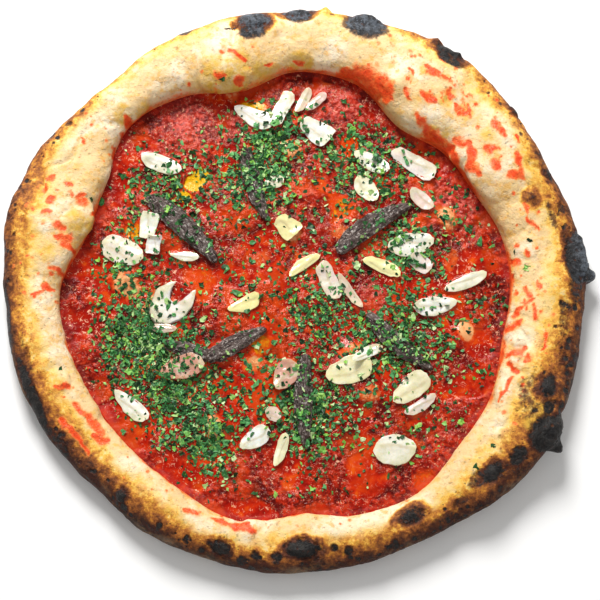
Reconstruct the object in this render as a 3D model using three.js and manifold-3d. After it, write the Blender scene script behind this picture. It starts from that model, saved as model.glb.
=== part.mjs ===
// A hand-made marinara pizza, in millimetres, +Z up, lying flat on z = 0.
// The dough is one solid: a thin disc with a puffed, blistered rim round a shallow pocket.
// The sauce fills the pocket, and the anchovy fillets and garlic slices lie on the sauce.
// Angles are in degrees, anticlockwise from +X, seen from above.

import * as THREE from 'three';
import { mergeVertices } from 'three/addons/utils/BufferGeometryUtils.js';
import Module from 'manifold-3d';

const wasm = await Module();
wasm.setup();

// ---- Driving dimensions ----

// The rim's centre, measured from the middle of the whole pizza's outline.
const RIM_CENTRE = { x: -0.3, y: -7.5 };

// The rim at every 15 degrees from +X: its outermost radius, the radius where it meets
// the sauce, and the height of its crest.
const RIM_OUTER = [154.5, 156, 155, 160, 165, 164, 166, 166, 164, 161, 165, 164.5,
  159, 157, 154, 150.5, 152, 151.5, 151, 150, 149, 155, 157, 154];
const RIM_INNER = [115, 116, 113, 114, 111, 126, 130, 122, 132, 134, 123, 120,
  129, 127, 124, 123.5, 124, 128, 121.5, 125, 126.5, 120, 118, 113];
const RIM_CREST = [19, 20, 23, 24, 25, 22, 20, 21, 19, 18, 18, 19,
  18, 17, 16, 16, 17, 16, 16, 15, 15, 19, 21, 20];

const RIM_WAIST = 0.42;      // height of the widest place, as a share of the crest's height
const RIM_FULLNESS = 2.3;    // 2 is an ellipse, more is squarer
const RIM_UNDERCUT = 9;      // how far the outer wall curls in to the flat base
const RIM_STEPS = 144;       // sections round the rim
const WALL_STEPS = 3;        // facets down the outer wall
const ARCH_STEPS = 10;       // facets over the rim, from the outer wall to the sauce
const BASE_THICKNESS = 3.6;  // dough under the sauce

// Broad puffs in the rim. turn is the place across the rim: 0 is the outer wall, 90 the
// crest and 180 the sauce's edge.
const BIG_PUFFS = [
  { at: 110, turn: 128, size: 17, rise: 4.5 },
  { at: 60, turn: 120, size: 22, rise: 2.5 },
  { at: 33, turn: 140, size: 18, rise: 3 },
  { at: 163, turn: 140, size: 14, rise: 3 },
  { at: 78, turn: 80, size: 15, rise: 1.5 },
  { at: 328, turn: 60, size: 14, rise: 2 },
  { at: 2, turn: 60, size: 15, rise: 2 },
];
const SMALL_PUFFS = { count: 30, size: [8, 16], rise: [0.6, 2.2], turn: [30, 150], seed: 11 };
const PUFF_FADE = { outside: 25, inside: 30 };   // degrees across the rim where puffs die out

// Charred blisters: centre radius, length round the rim, width across it, and rise.
const BLISTERS = [
  { at: 99, radius: 158, length: 16, width: 12.5, rise: 2.4 },
  { at: 90, radius: 162, length: 14, width: 7, rise: 1.6 },
  { at: 76, radius: 162, length: 17, width: 11.5, rise: 3 },
  { at: 58, radius: 160, length: 15, width: 7, rise: 1.8 },
  { at: 40, radius: 156, length: 8, width: 6, rise: 1.4 },
  { at: 21, radius: 136, length: 7, width: 6, rise: 1.2 },
  { at: 25, radius: 151, length: 8, width: 6, rise: 1.2 },
  { at: 6.5, radius: 153.5, length: 28.5, width: 17, rise: 3.6 },
  { at: 3, radius: 154.6, length: 9, width: 9, rise: 6.4 },
  { at: 337, radius: 142, length: 10.5, width: 7, rise: 1.2 },
  { at: 329, radius: 154, length: 19.5, width: 16, rise: 4 },
  { at: 327.5, radius: 156.6, length: 8, width: 8, rise: 6.4 },
  { at: 315, radius: 142, length: 10.5, width: 7, rise: 1.2 },
  { at: 295, radius: 136, length: 11.5, width: 7, rise: 1.4 },
  { at: 271, radius: 140, length: 16, width: 9, rise: 1.8 },
  { at: 254, radius: 145, length: 9, width: 6, rise: 1.4 },
  { at: 231, radius: 145, length: 7, width: 7, rise: 1.6 },
];
const BLISTER_ROOT = 3.5;    // depth of a blister's centre below the rim's skin

const SAUCE_LEVEL = 6.5;     // mean height of the sauce's surface
const SAUCE_RINGS = 19;      // rings of facets from the middle to the edge
const BUBBLE_FALLOFF = 1.6;  // how steeply a bubble's side drops to its stated radius
const CLEARANCE = 0.35;      // kept between pieces that touch

// Gentle swells of the sauce: wavelength, direction, phase and height.
const SAUCE_SWELLS = [
  { length: 71, heading: 20, phase: 0.4, height: 0.45 },
  { length: 53, heading: 100, phase: 2.1, height: 0.4 },
  { length: 34, heading: 155, phase: 4.0, height: 0.35 },
  { length: 27, heading: 65, phase: 1.2, height: 0.3 },
];

// Bubbles of dough that lift the sauce, and hollows where oil pools (a negative rise).
const BUBBLES = [
  { x: -95, y: 5, radius: 11, rise: 3.2 },
  { x: -44, y: -75, radius: 10, rise: 3.4 },
  { x: 83, y: 42, radius: 9, rise: 3 },
  { x: 88, y: -24, radius: 8, rise: 3 },
  { x: -6, y: 81, radius: 8, rise: 2.6 },
  { x: -78, y: -43, radius: 6, rise: 2 },
  { x: -86, y: -9, radius: 8, rise: 2.2 },
  { x: 24, y: 35, radius: 9, rise: 2 },
  { x: 37, y: -58, radius: 9, rise: 2.4 },
  { x: 28, y: -33, radius: 9, rise: 1.8 },
  { x: -21, y: -30, radius: 9, rise: 2.4 },
  { x: -3, y: -36, radius: 7, rise: 1.8 },
  { x: -13, y: -34, radius: 6, rise: -1.6 },
  { x: -62, y: 64, radius: 7, rise: -1 },
];

// Anchovy fillets: middle, direction, length, width and sideways bend (in degrees).
const ANCHOVIES = [
  { x: -63, y: 36, turn: -44, length: 55, width: 10, bend: -14 },
  { x: -24, y: 61, turn: -74, length: 45, width: 8, bend: 12 },
  { x: 41, y: 37, turn: 34, length: 50, width: 9.5, bend: -24 },
  { x: -55, y: -34, turn: -15, length: 35, width: 7, bend: 10 },
  { x: -33, y: -30, turn: 30, length: 37, width: 8, bend: -12 },
  { x: 3, y: -61, turn: -89, length: 52, width: 8, bend: 8 },
  { x: 54, y: -29, turn: -42, length: 47, width: 8, bend: 16 },
];
const ANCHOVY = { thick: 3, limp: 0.8, blunt: 0.6, skew: 0.8, stations: 9, sides: 6 };

// Garlic slices, the same way. A crescent has a strong bend.
const GARLIC = [
  { x: -76, y: 74, turn: -20, length: 25, width: 10.5, bend: 20 },
  { x: -25, y: 102, turn: -27, length: 25, width: 11, bend: 15 },
  { x: -9, y: 106, turn: 65, length: 25, width: 8.5, bend: -20 },
  { x: 3, y: 112, turn: 63, length: 16.5, width: 6, bend: 25 },
  { x: 10, y: 111, turn: 40, length: 15.5, width: 6, bend: -15 },
  { x: 10, y: 94, turn: -38, length: 20, width: 13, bend: 20, blunt: 0.35 },
  { x: 38, y: 59, turn: -53, length: 17.5, width: 11, bend: 20 },
  { x: -13, y: 63, turn: 10, length: 11.5, width: 8, bend: 0 },
  { x: 41, y: 75, turn: -30, length: 23, width: 10, bend: 25 },
  { x: 64, y: 74, turn: -34, length: 29, width: 11, bend: -20 },
  { x: 68, y: 53, turn: -45, length: 16.5, width: 9, bend: 30 },
  { x: -82, y: 37, turn: 79, length: 15.5, width: 9.5, bend: 0, blunt: 0.22 },
  { x: -79, y: 26, turn: 82, length: 10.5, width: 8, bend: 0, blunt: 0.22 },
  { x: -96, y: 23, turn: -24, length: 25, width: 15.5, bend: 10 },
  { x: -68, y: -6, turn: -35, length: 40, width: 11.5, bend: 180 },
  { x: -72, y: -21, turn: -4, length: 14.5, width: 5.5, bend: 10 },
  { x: -62, y: -43, turn: 15, length: 25, width: 13.5, bend: -20 },
  { x: -62, y: 20, turn: -6, length: 16.5, width: 5, bend: 10 },
  { x: -6, y: 37, turn: -45, length: 14.5, width: 12.5, bend: 10 },
  { x: 3, y: 15, turn: 36, length: 21, width: 6.5, bend: -40 },
  { x: -29, y: -7, turn: 27, length: 20, width: 8.5, bend: 45 },
  { x: 17, y: 6, turn: -68, length: 24, width: 10, bend: 30 },
  { x: 28, y: 0, turn: -56, length: 23, width: 5.5, bend: 20 },
  { x: 46, y: 14, turn: -25, length: 23, width: 8, bend: -30 },
  { x: 27, y: -44, turn: 18, length: 26, width: 15, bend: 12 },
  { x: 37, y: -35, turn: 28, length: 18.5, width: 6, bend: -20 },
  { x: 62, y: 27, turn: 10, length: 26, width: 14, bend: 15 },
  { x: 67, y: 16, turn: -35, length: 13.5, width: 10, bend: 25 },
  { x: 74, y: -8, turn: 8, length: 24, width: 11, bend: 12 },
  { x: 91, y: 5, turn: 23, length: 25, width: 8, bend: 15 },
  { x: 60, y: -54, turn: 40, length: 24, width: 12.5, bend: 15 },
  { x: 65, y: -63, turn: 33, length: 20, width: 6.5, bend: 35 },
  { x: -89, y: -63, turn: -42, length: 25, width: 9, bend: 20 },
  { x: -23, y: -81, turn: 36, length: 18.5, width: 10, bend: 20 },
  { x: -9, y: -87, turn: 72, length: 18.5, width: 6.5, bend: 15 },
  { x: -13, y: -68, turn: -35, length: 9.5, width: 8, bend: 0 },
  { x: 51, y: -87, turn: 5, length: 23, width: 17, bend: 8 },
  { x: -7, y: -47, turn: 60, length: 18.5, width: 12.5, bend: 25 },
];
const SLICE = { thick: 1.6, limp: 0.3, blunt: 0.5, skew: 1.12, stations: 5, sides: 4 };
const CRESCENT_BEND = 90;      // a slice bent further than this gets more stations
const CRESCENT_STATIONS = 9;
const CURL = 1.2;              // how far a slice's ends lift off the sauce
const LIE_SAMPLES = [-0.8, 0, 0.8];   // places across a strip where it feels what is below
const CONTACT_STEPS = { along: 24, across: 8 };

// Chopped parsley stuck to the sauce: the bits that are big enough to see from a step away.
const FLAKES = {
  count: 80, size: [3.6, 5.6], thick: 0.7, tilt: 28, corners: 5, cup: 0.5, seed: 5,
  proud: 0.3,       // height of a flake's middle above the sauce
  apart: 6.2,       // least distance between two flakes
  fromRim: 11,      // bare band inside the rim
  fromTopping: 4.2,
};
// Where it lies thickest: centre, spread and share of the bits.
const DRIFTS = [
  { x: -84, y: -26, spread: 29, share: 0.24 },
  { x: -50, y: -70, spread: 29, share: 0.12 },
  { x: -66, y: 62, spread: 29, share: 0.08 },
  { x: -22, y: 62, spread: 19, share: 0.1 },
  { x: 36, y: 72, spread: 26, share: 0.1 },
  { x: 6, y: -66, spread: 24, share: 0.12 },
  { x: 56, y: -26, spread: 29, share: 0.12 },
  { x: 10, y: 0, spread: 72, share: 0.12 },
];

const COLOURS = { dough: 0xd9b483, sauce: 0x9c1c0e, anchovy: 0x4a3733, garlic: 0xeee2c8 };

// ---- Small helpers ----

const radians = THREE.MathUtils.degToRad;
const lerp = THREE.MathUtils.lerp;

// Draws between 0 and 1, the same every time for the same seed.
function makeDraw(seed) {
  let state = seed;
  return () => {
    state = (state * 16807) % 2147483647;
    return state / 2147483647;
  };
}

// A smooth closed curve through values that stand at even steps round the circle.
function around(values) {
  const count = values.length;
  return (degrees) => {
    const place = ((degrees / 360) * count + count) % count;
    const k = Math.floor(place);
    const t = place - k;
    const [a, b, c, d] = [k - 1, k, k + 1, k + 2].map((i) => values[(i + count) % count]);
    return b + 0.5 * t * (c - a + t * (2 * a - 5 * b + 4 * c - d + t * (3 * (b - c) + d - a)));
  };
}

const outerAt = around(RIM_OUTER);
const innerAt = around(RIM_INNER);
const crestAt = around(RIM_CREST);

// A closed geometry from vertices and triangles, with its faces turned outward.
function closedGeometry(points, triangles) {
  let volume = 0;
  for (const [a, b, c] of triangles) {
    volume += points[a].dot(points[b].clone().cross(points[c]));
  }
  const index = volume < 0 ? triangles.map(([a, b, c]) => [a, c, b]) : triangles;
  const geometry = new THREE.BufferGeometry().setFromPoints(points);
  geometry.setIndex(index.flat());
  return geometry;
}

// A solid through closed rings of equal length, closed by a tip at each end.
function loft(firstTip, rings, lastTip) {
  const sides = rings[0].length;
  const points = [firstTip, ...rings.flat(), lastTip];
  const last = points.length - 1;
  const triangles = [];
  for (let i = 0; i < sides; i += 1) {
    const j = (i + 1) % sides;
    triangles.push([0, 1 + j, 1 + i], [last, last - sides + i, last - sides + j]);
    for (let k = 1; k < rings.length; k += 1) {
      const below = 1 + (k - 1) * sides;
      const above = below + sides;
      triangles.push([below + i, below + j, above + j], [below + i, above + j, above + i]);
    }
  }
  return closedGeometry(points, triangles);
}

// Turns a geometry into a solid that can be joined to another, and back.
function toSolid(geometry) {
  const bare = geometry.clone();
  bare.deleteAttribute('normal');
  bare.deleteAttribute('uv');
  const merged = mergeVertices(bare, 1e-4);
  return new wasm.Manifold(new wasm.Mesh({
    numProp: 3,
    vertProperties: new Float32Array(merged.attributes.position.array),
    triVerts: new Uint32Array(merged.index.array),
  }));
}

function fromSolid(solid) {
  const { vertProperties, triVerts } = solid.getMesh();
  const geometry = new THREE.BufferGeometry();
  geometry.setAttribute('position', new THREE.BufferAttribute(vertProperties, 3));
  geometry.setIndex(new THREE.BufferAttribute(triVerts, 1));
  return geometry;
}

function fuse(geometry, extras) {
  return fromSolid(extras.reduce((solid, extra) => solid.add(toSolid(extra)), toSolid(geometry)));
}

function makeMesh(name, geometry, color, roughness) {
  geometry.computeVertexNormals();
  const material = new THREE.MeshStandardMaterial({ color, roughness, metalness: 0, flatShading: true });
  const mesh = new THREE.Mesh(geometry, material);
  mesh.name = name;
  return mesh;
}

// ---- The dough ----

const rounded = (value) => Math.sign(value) * Math.abs(value) ** (2 / RIM_FULLNESS);

// The rim's plain section: radius and height at a place across it.
function rimSection(at, turn) {
  const outer = outerAt(at);
  const half = (outer - innerAt(at)) / 2;
  const crest = crestAt(at);
  const waist = RIM_WAIST * crest;
  const across = Math.cos(radians(turn));
  const up = Math.sin(radians(turn));
  if (turn < 0) {
    const radius = outer - RIM_UNDERCUT * (1 - across);
    return { radius, height: waist * (1 + up), core: outer - half, waist };
  }
  return {
    radius: outer - half + half * rounded(across),
    height: waist + (crest - waist) * rounded(up),
    core: outer - half,
    waist,
  };
}

function onRim(at, radius, height) {
  return new THREE.Vector3(radius * Math.cos(radians(at)), radius * Math.sin(radians(at)), height);
}

function listPuffs() {
  const draw = makeDraw(SMALL_PUFFS.seed);
  const puffs = [...BIG_PUFFS];
  for (let i = 0; i < SMALL_PUFFS.count; i += 1) {
    puffs.push({
      at: ((i + draw()) * 360) / SMALL_PUFFS.count,
      turn: lerp(...SMALL_PUFFS.turn, draw()),
      size: lerp(...SMALL_PUFFS.size, draw()),
      rise: lerp(...SMALL_PUFFS.rise, draw()),
    });
  }
  return puffs.map((puff) => {
    const { radius, height } = rimSection(puff.at, puff.turn);
    return { ...puff, centre: onRim(puff.at, radius, height) };
  });
}

const puffs = listPuffs();

// The rim's skin with its puffs, which fade out at the outer wall and at the sauce.
function rimSkin(at, turn) {
  const { radius, height, core, waist } = rimSection(at, turn);
  const plain = onRim(at, radius, height);
  const fade = Math.min(1, Math.max(0, turn) / PUFF_FADE.outside, (180 - turn) / PUFF_FADE.inside);
  const rise = puffs.reduce((sum, puff) => (
    sum + puff.rise * Math.exp(-plain.distanceToSquared(puff.centre) / puff.size ** 2)), 0);
  const outward = new THREE.Vector2(radius - core, height - waist).normalize();
  const lift = fade * rise;
  return onRim(at, radius + lift * outward.x, height + lift * outward.y);
}

// The place across the rim that lies at a given radius on its upper side.
function turnAtRadius(at, radius) {
  const outer = outerAt(at);
  const half = (outer - innerAt(at)) / 2;
  const across = THREE.MathUtils.clamp((radius - outer + half) / half, -1, 1);
  return THREE.MathUtils.radToDeg(Math.acos(Math.sign(across) * Math.abs(across) ** (RIM_FULLNESS / 2)));
}

// A blister is a squashed ball sunk into the skin, square to it.
function makeBlister({ at, radius, length, width, rise }) {
  const turn = turnAtRadius(at, radius);
  const centre = rimSkin(at, turn);
  const along = new THREE.Vector3(-Math.sin(radians(at)), Math.cos(radians(at)), 0);
  const across = rimSkin(at, turn + 3).sub(rimSkin(at, Math.max(0, turn - 3))).normalize();
  const out = new THREE.Vector3().crossVectors(along, across).normalize();
  const side = new THREE.Vector3().crossVectors(out, along);
  const ball = new THREE.IcosahedronGeometry(1, 1);
  ball.scale(length / 2, width / 2, rise + BLISTER_ROOT);
  ball.applyMatrix4(new THREE.Matrix4().makeBasis(along, side, out));
  ball.translate(...centre.addScaledVector(out, -BLISTER_ROOT).toArray());
  return ball;
}

function makeDough() {
  const turns = [];
  for (let k = 0; k < WALL_STEPS; k += 1) turns.push(-90 + (90 * k) / WALL_STEPS);
  for (let k = 0; k <= ARCH_STEPS; k += 1) turns.push((180 * k) / ARCH_STEPS);
  const angles = Array.from({ length: RIM_STEPS }, (_, i) => (360 * i) / RIM_STEPS);
  const rings = turns.map((turn) => angles.map((at) => rimSkin(at, turn)));
  rings.push(angles.map((at) => onRim(at, innerAt(at), BASE_THICKNESS)));
  const shell = loft(new THREE.Vector3(0, 0, 0), rings, new THREE.Vector3(0, 0, BASE_THICKNESS));
  return makeMesh('dough', fuse(shell, BLISTERS.map(makeBlister)), COLOURS.dough, 0.75);
}

// ---- The sauce ----

function sauceHeight(x, y) {
  let height = SAUCE_LEVEL;
  for (const swell of SAUCE_SWELLS) {
    const along = x * Math.cos(radians(swell.heading)) + y * Math.sin(radians(swell.heading));
    height += swell.height * Math.sin((2 * Math.PI * along) / swell.length + swell.phase);
  }
  for (const bubble of BUBBLES) {
    const away = ((x - bubble.x) ** 2 + (y - bubble.y) ** 2) / bubble.radius ** 2;
    height += bubble.rise * Math.exp(-BUBBLE_FALLOFF * away);
  }
  return height;
}

// Rings of points, six more in each ring than in the one inside it.
function makeSaucePool() {
  const points = [new THREE.Vector3(0, 0, sauceHeight(0, 0))];
  const first = [0];
  for (let k = 1; k <= SAUCE_RINGS; k += 1) {
    first.push(points.length);
    for (let i = 0; i < 6 * k; i += 1) {
      const at = (60 * i) / k;
      const radius = ((innerAt(at) - CLEARANCE) * k) / SAUCE_RINGS;
      const point = onRim(at, radius, 0);
      points.push(point.setZ(sauceHeight(point.x, point.y)));
    }
  }
  const triangles = [];
  for (let k = 1; k <= SAUCE_RINGS; k += 1) {
    for (let i = 0; i < 6 * k; i += 1) {
      const side = Math.floor(i / k);
      const outer = [first[k] + i, first[k] + ((i + 1) % (6 * k))];
      const inner = k === 1 ? 0 : first[k - 1] + ((i - side) % (6 * (k - 1)));
      triangles.push([outer[0], outer[1], inner]);
      if (i % k > 0) {
        triangles.push([outer[0], inner, first[k - 1] + i - side - 1]);
      }
    }
  }
  const edge = 6 * SAUCE_RINGS;
  const rim = first[SAUCE_RINGS];
  const foot = points.length;
  const underside = BASE_THICKNESS + CLEARANCE;
  for (let i = 0; i < edge; i += 1) points.push(points[rim + i].clone().setZ(underside));
  points.push(new THREE.Vector3(0, 0, underside));
  for (let i = 0; i < edge; i += 1) {
    const j = (i + 1) % edge;
    triangles.push([rim + j, rim + i, foot + i], [rim + j, foot + i, foot + j]);
    triangles.push([foot + j, foot + i, foot + edge]);
  }
  return closedGeometry(points, triangles);
}

// ---- Toppings that lie on the sauce ----

// A point of a strip's middle line, where s runs from 0 to 1 along it, and its heading.
function spinePoint({ length, bend }, s) {
  const sweep = radians(bend);
  const heading = sweep * (s - 0.5);
  if (Math.abs(sweep) < 0.01) return { x: length * (s - 0.5), y: 0, heading };
  const radius = length / sweep;
  const drop = radius * (1 - Math.sin(sweep / 2) / (sweep / 2));
  return { x: radius * Math.sin(heading), y: radius * (1 - Math.cos(heading)) - drop, heading };
}

// Half the strip's width at s: rounded ends, fuller towards one of them.
function halfWidth({ width, blunt, skew }, s) {
  return (width / 2) * Math.sin(Math.PI * s ** skew) ** blunt;
}

// Where the strip's point (s, v) stands on the pizza; v runs from -1 to 1 across it.
function plant(strip, s, v) {
  const { x, y, heading } = spinePoint(strip, s);
  const side = v * halfWidth(strip, s);
  const local = new THREE.Vector2(x - side * Math.sin(heading), y + side * Math.cos(heading));
  const world = local.clone().rotateAround(new THREE.Vector2(), radians(strip.turn));
  return { local, x: strip.x + world.x, y: strip.y + world.y };
}

const caster = new THREE.Raycaster();
const DOWN = new THREE.Vector3(0, 0, -1);
const HIGH = 60;

function heightBelow(x, y, lower) {
  caster.set(new THREE.Vector3(x, y, HIGH), DOWN);
  return caster.intersectObjects(lower)[0].point.z;
}

// The height of the strip's middle line: a straight lie blended with a limp one.
function layDown(strip, places, lower) {
  const limp = places.map((s) => Math.max(
    ...LIE_SAMPLES.map((v) => {
      const { x, y } = plant(strip, s, v);
      return heightBelow(x, y, lower);
    }),
  ));
  const mean = limp.reduce((sum, z) => sum + z, 0) / limp.length;
  const middle = places.reduce((sum, s) => sum + s, 0) / places.length;
  const slope = places.reduce((sum, s, i) => sum + (s - middle) * (limp[i] - mean), 0)
    / places.reduce((sum, s) => sum + (s - middle) ** 2, 0);
  return places.map((s, i) => lerp(mean + slope * (s - middle), limp[i], strip.limp)
    + strip.curl * (2 * s - 1) ** 2);
}

// Points round a strip's section: [v across, share of the thickness]. A slice is a thin
// lens, and a fillet is flat below and on top.
const SECTIONS = {
  4: [[-1, 0.5], [0, 0], [1, 0.5], [0, 1]],
  6: [[-1, 0.45], [-0.55, 0], [0.55, 0], [1, 0.45], [0.5, 0.95], [-0.5, 0.95]],
};

// How far the strip's underside stands above its lowest line, as a share of the thickness.
function undersideShare(sides, v) {
  const [edge, foot] = SECTIONS[sides];
  return edge[1] * Math.max(0, Math.abs(v) - Math.abs(foot[0])) / (1 - Math.abs(foot[0]));
}

// Makes a strip and rests it on the pieces below with a small gap.
function makeStrip(name, strip, lower, color) {
  const { stations, sides, thick } = strip;
  const places = Array.from(
    { length: stations + 2 },
    (_, i) => (1 - Math.cos((Math.PI * i) / (stations + 1))) / 2,
  );
  const heights = layDown(strip, places, lower);
  const heightAt = (s) => {
    const k = Math.min(places.length - 2, places.findLastIndex((place) => place <= s));
    return lerp(heights[k], heights[k + 1], (s - places[k]) / (places[k + 1] - places[k]));
  };
  let lift = 0;
  for (let i = 0; i <= CONTACT_STEPS.along; i += 1) {
    for (let j = 0; j <= CONTACT_STEPS.across; j += 1) {
      const s = i / CONTACT_STEPS.along;
      const v = (2 * j) / CONTACT_STEPS.across - 1;
      const { x, y } = plant(strip, s, v);
      const underside = heightAt(s) + thick * undersideShare(sides, v);
      lift = Math.max(lift, heightBelow(x, y, lower) - underside);
    }
  }
  const at = (i, v, share) => {
    const { local } = plant(strip, places[i], v);
    return new THREE.Vector3(local.x, local.y, heights[i] + thick * share);
  };
  const rings = [];
  for (let i = 1; i <= stations; i += 1) {
    rings.push(SECTIONS[sides].map(([v, share]) => at(i, v, share)));
  }
  const geometry = loft(at(0, 0, 0.5), rings, at(stations + 1, 0, 0.5));
  const mesh = makeMesh(name, geometry, color, 0.45);
  mesh.position.set(strip.x, strip.y, lift + CLEARANCE);
  mesh.rotation.z = radians(strip.turn);
  mesh.updateMatrixWorld();
  return mesh;
}

// ---- Parsley ----

// A cupped scrap of leaf, thin, with an uneven outline.
function makeFlake(x, y, draw) {
  const { corners, thick, tilt, cup, proud } = FLAKES;
  const size = lerp(...FLAKES.size, draw());
  const outline = Array.from({ length: corners }, (_, i) => {
    const angle = (2 * Math.PI * (i + 0.6 * draw())) / corners;
    const reach = (size / 2) * lerp(0.65, 1.15, draw());
    return new THREE.Vector3(reach * Math.cos(angle), reach * Math.sin(angle), cup);
  });
  const lowered = (point) => point.clone().setZ(point.z - thick);
  const centre = new THREE.Vector3(0, 0, 0);
  const flake = loft(lowered(centre), [outline.map(lowered), outline], centre);
  flake.rotateX(radians(lerp(-tilt, tilt, draw())));
  flake.rotateZ(2 * Math.PI * draw());
  flake.translate(x, y, sauceHeight(x, y) + proud);
  return flake;
}

function nearTopping(x, y, strips, reach) {
  return strips.some((strip) => {
    for (let s = 0.05; s < 1; s += 0.1) {
      const spot = plant(strip, s, 0);
      if (Math.hypot(x - spot.x, y - spot.y) < halfWidth(strip, s) + reach) return true;
    }
    return false;
  });
}

function scatterFlakes(strips) {
  const draw = makeDraw(FLAKES.seed);
  const spots = [];
  for (const drift of DRIFTS) {
    const wanted = spots.length + Math.round(drift.share * FLAKES.count);
    while (spots.length < wanted) {
      const away = drift.spread * Math.sqrt(draw());
      const heading = 2 * Math.PI * draw();
      const x = drift.x + away * Math.cos(heading);
      const y = drift.y + away * Math.sin(heading);
      const at = THREE.MathUtils.radToDeg(Math.atan2(y, x));
      const inside = Math.hypot(x, y) < innerAt(at) - FLAKES.fromRim;
      const apart = spots.every((spot) => Math.hypot(x - spot.x, y - spot.y) > FLAKES.apart);
      if (inside && apart && !nearTopping(x, y, strips, FLAKES.fromTopping)) spots.push({ x, y });
    }
  }
  return spots.map(({ x, y }) => makeFlake(x, y, draw));
}

// ---- The whole pizza ----

const fillets = ANCHOVIES.map((fillet) => ({ ...ANCHOVY, curl: 0, ...fillet }));
const slices = GARLIC.map((slice) => ({
  ...SLICE,
  curl: CURL,
  ...slice,
  stations: slice.bend > CRESCENT_BEND ? CRESCENT_STATIONS : SLICE.stations,
}));

const pizza = new THREE.Group();
pizza.name = 'marinara_pizza';

const dough = makeDough();
const saucePool = fuse(makeSaucePool(), scatterFlakes([...fillets, ...slices]));
const sauce = makeMesh('sauce', saucePool, COLOURS.sauce, 0.3);
const laid = [sauce];
fillets.forEach((fillet, i) => laid.push(makeStrip(`anchovy_${i + 1}`, fillet, laid, COLOURS.anchovy)));
slices.forEach((slice, i) => laid.push(makeStrip(`garlic_${i + 1}`, slice, laid, COLOURS.garlic)));
pizza.add(dough, ...laid);
pizza.position.set(RIM_CENTRE.x, RIM_CENTRE.y, 0);

export default pizza;
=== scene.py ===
# A baked marinara pizza: puffed charred rim, crushed tomato, garlic, anchovy and parsley.
# Lengths are in millimetres until a mesh is made. Angles are in degrees, anticlockwise from +X.
import math

import bmesh
import bpy
import numpy as np
from mathutils import Matrix, Vector
from mathutils.bvhtree import BVHTree


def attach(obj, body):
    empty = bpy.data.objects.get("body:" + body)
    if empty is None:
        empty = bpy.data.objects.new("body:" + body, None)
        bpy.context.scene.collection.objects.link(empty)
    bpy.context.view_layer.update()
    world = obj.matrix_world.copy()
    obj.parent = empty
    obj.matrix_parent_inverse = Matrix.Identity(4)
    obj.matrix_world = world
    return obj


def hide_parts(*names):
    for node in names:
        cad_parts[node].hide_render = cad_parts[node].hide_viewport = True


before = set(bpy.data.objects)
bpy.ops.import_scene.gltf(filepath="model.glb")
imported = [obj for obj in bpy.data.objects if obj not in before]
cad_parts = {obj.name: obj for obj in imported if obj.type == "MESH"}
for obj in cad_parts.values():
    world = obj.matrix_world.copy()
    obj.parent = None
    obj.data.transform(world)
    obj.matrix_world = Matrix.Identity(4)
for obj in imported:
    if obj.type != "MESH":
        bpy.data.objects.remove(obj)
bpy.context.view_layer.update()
mm = 0.001
rimCentre = np.array([-0.3, -7.5])  # the rim's centre, from the middle of the whole outline

# ---- small tools ----


def makeDraw(seed):
    # draws between 0 and 1, the same ones as the solids use
    state = seed

    def draw():
        nonlocal state
        state = state * 16807 % 2147483647
        return state / 2147483647

    return draw


def lerp(a, b, t):
    return a + (b - a) * t


def smoothStep(low, high, value):
    t = np.clip((value - low) / (high - low), 0, 1)
    return t * t * (3 - 2 * t)


def around(values, degrees):
    # a smooth closed curve through values at even steps round the circle
    values = np.array(values, float)
    count = len(values)
    place = np.asarray(degrees) / 360 * count % count
    k = np.floor(place).astype(int)
    t = place - k
    a, b, c, d = (values[(k + i) % count] for i in (-1, 0, 1, 2))
    return b + 0.5 * t * (c - a + t * (2 * a - 5 * b + 4 * c - d + t * (3 * (b - c) + d - a)))


def valueNoise(points, size, seed=0):
    # smooth random values from -1 to 1
    cell = np.asarray(points) / size + seed * 19.7
    base = np.floor(cell).astype(np.int64)
    part = cell - base
    part = part * part * (3 - 2 * part)
    total = np.zeros(len(base))
    for corner in range(8):
        step = np.array([corner & 1, corner >> 1 & 1, corner >> 2 & 1])
        x, y, z = (base + step).T
        mixed = (x * 73856093 ^ y * 19349663 ^ z * 83492791) & 0xFFFFFFFF
        mixed = (mixed ^ (mixed >> 13)) * 1274126177 & 0xFFFFFFFF
        mixed ^= mixed >> 16
        weight = np.prod(np.where(step, part, 1 - part), axis=1)
        total += weight * mixed / 0xFFFFFFFF
    return total * 2 - 1


def roughNoise(points, size, octaves=3, seed=0):
    total = sum(valueNoise(points, size / 2**i, seed + i) / 2**i for i in range(octaves))
    return total / (2 - 2 ** (1 - octaves))


def makePiece(name, points, faces, marks=None):
    # points in millimetres round the rim's centre; faces are arrays of corners, marks are values per point
    placed = np.array(points, float)
    placed[:, :2] += rimCentre
    corners = np.concatenate([f.ravel() for f in faces])
    sizes = np.concatenate([np.full(len(f), f.shape[1]) for f in faces])
    mesh = bpy.data.meshes.new(name)
    mesh.vertices.add(len(placed))
    mesh.vertices.foreach_set("co", (placed * mm).astype(np.float32).ravel())
    mesh.loops.add(len(corners))
    mesh.loops.foreach_set("vertex_index", corners.astype(np.int32))
    mesh.polygons.add(len(sizes))
    mesh.polygons.foreach_set("loop_start", (np.cumsum(sizes) - sizes).astype(np.int32))
    mesh.update(calc_edges=True)
    mesh.polygons.foreach_set("use_smooth", np.ones(len(sizes), bool))
    addMarks(mesh, marks or {})
    piece = bpy.data.objects.new(name, mesh)
    bpy.context.scene.collection.objects.link(piece)
    return piece


def addMarks(mesh, marks):
    for key, values in marks.items():
        layer = mesh.attributes.new(key, "FLOAT", "POINT")
        layer.data.foreach_set("value", np.broadcast_to(values, len(mesh.vertices)).astype(np.float32))


def dress(piece, material, slotName, *nodes):
    piece.data.materials.clear()
    piece.data.materials.append(material)
    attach(piece, "root")
    if nodes:
        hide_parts(*nodes)


def polar(at, radius):
    return radius * np.cos(np.radians(at)), radius * np.sin(np.radians(at))


# ---- shader tools ----


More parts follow.
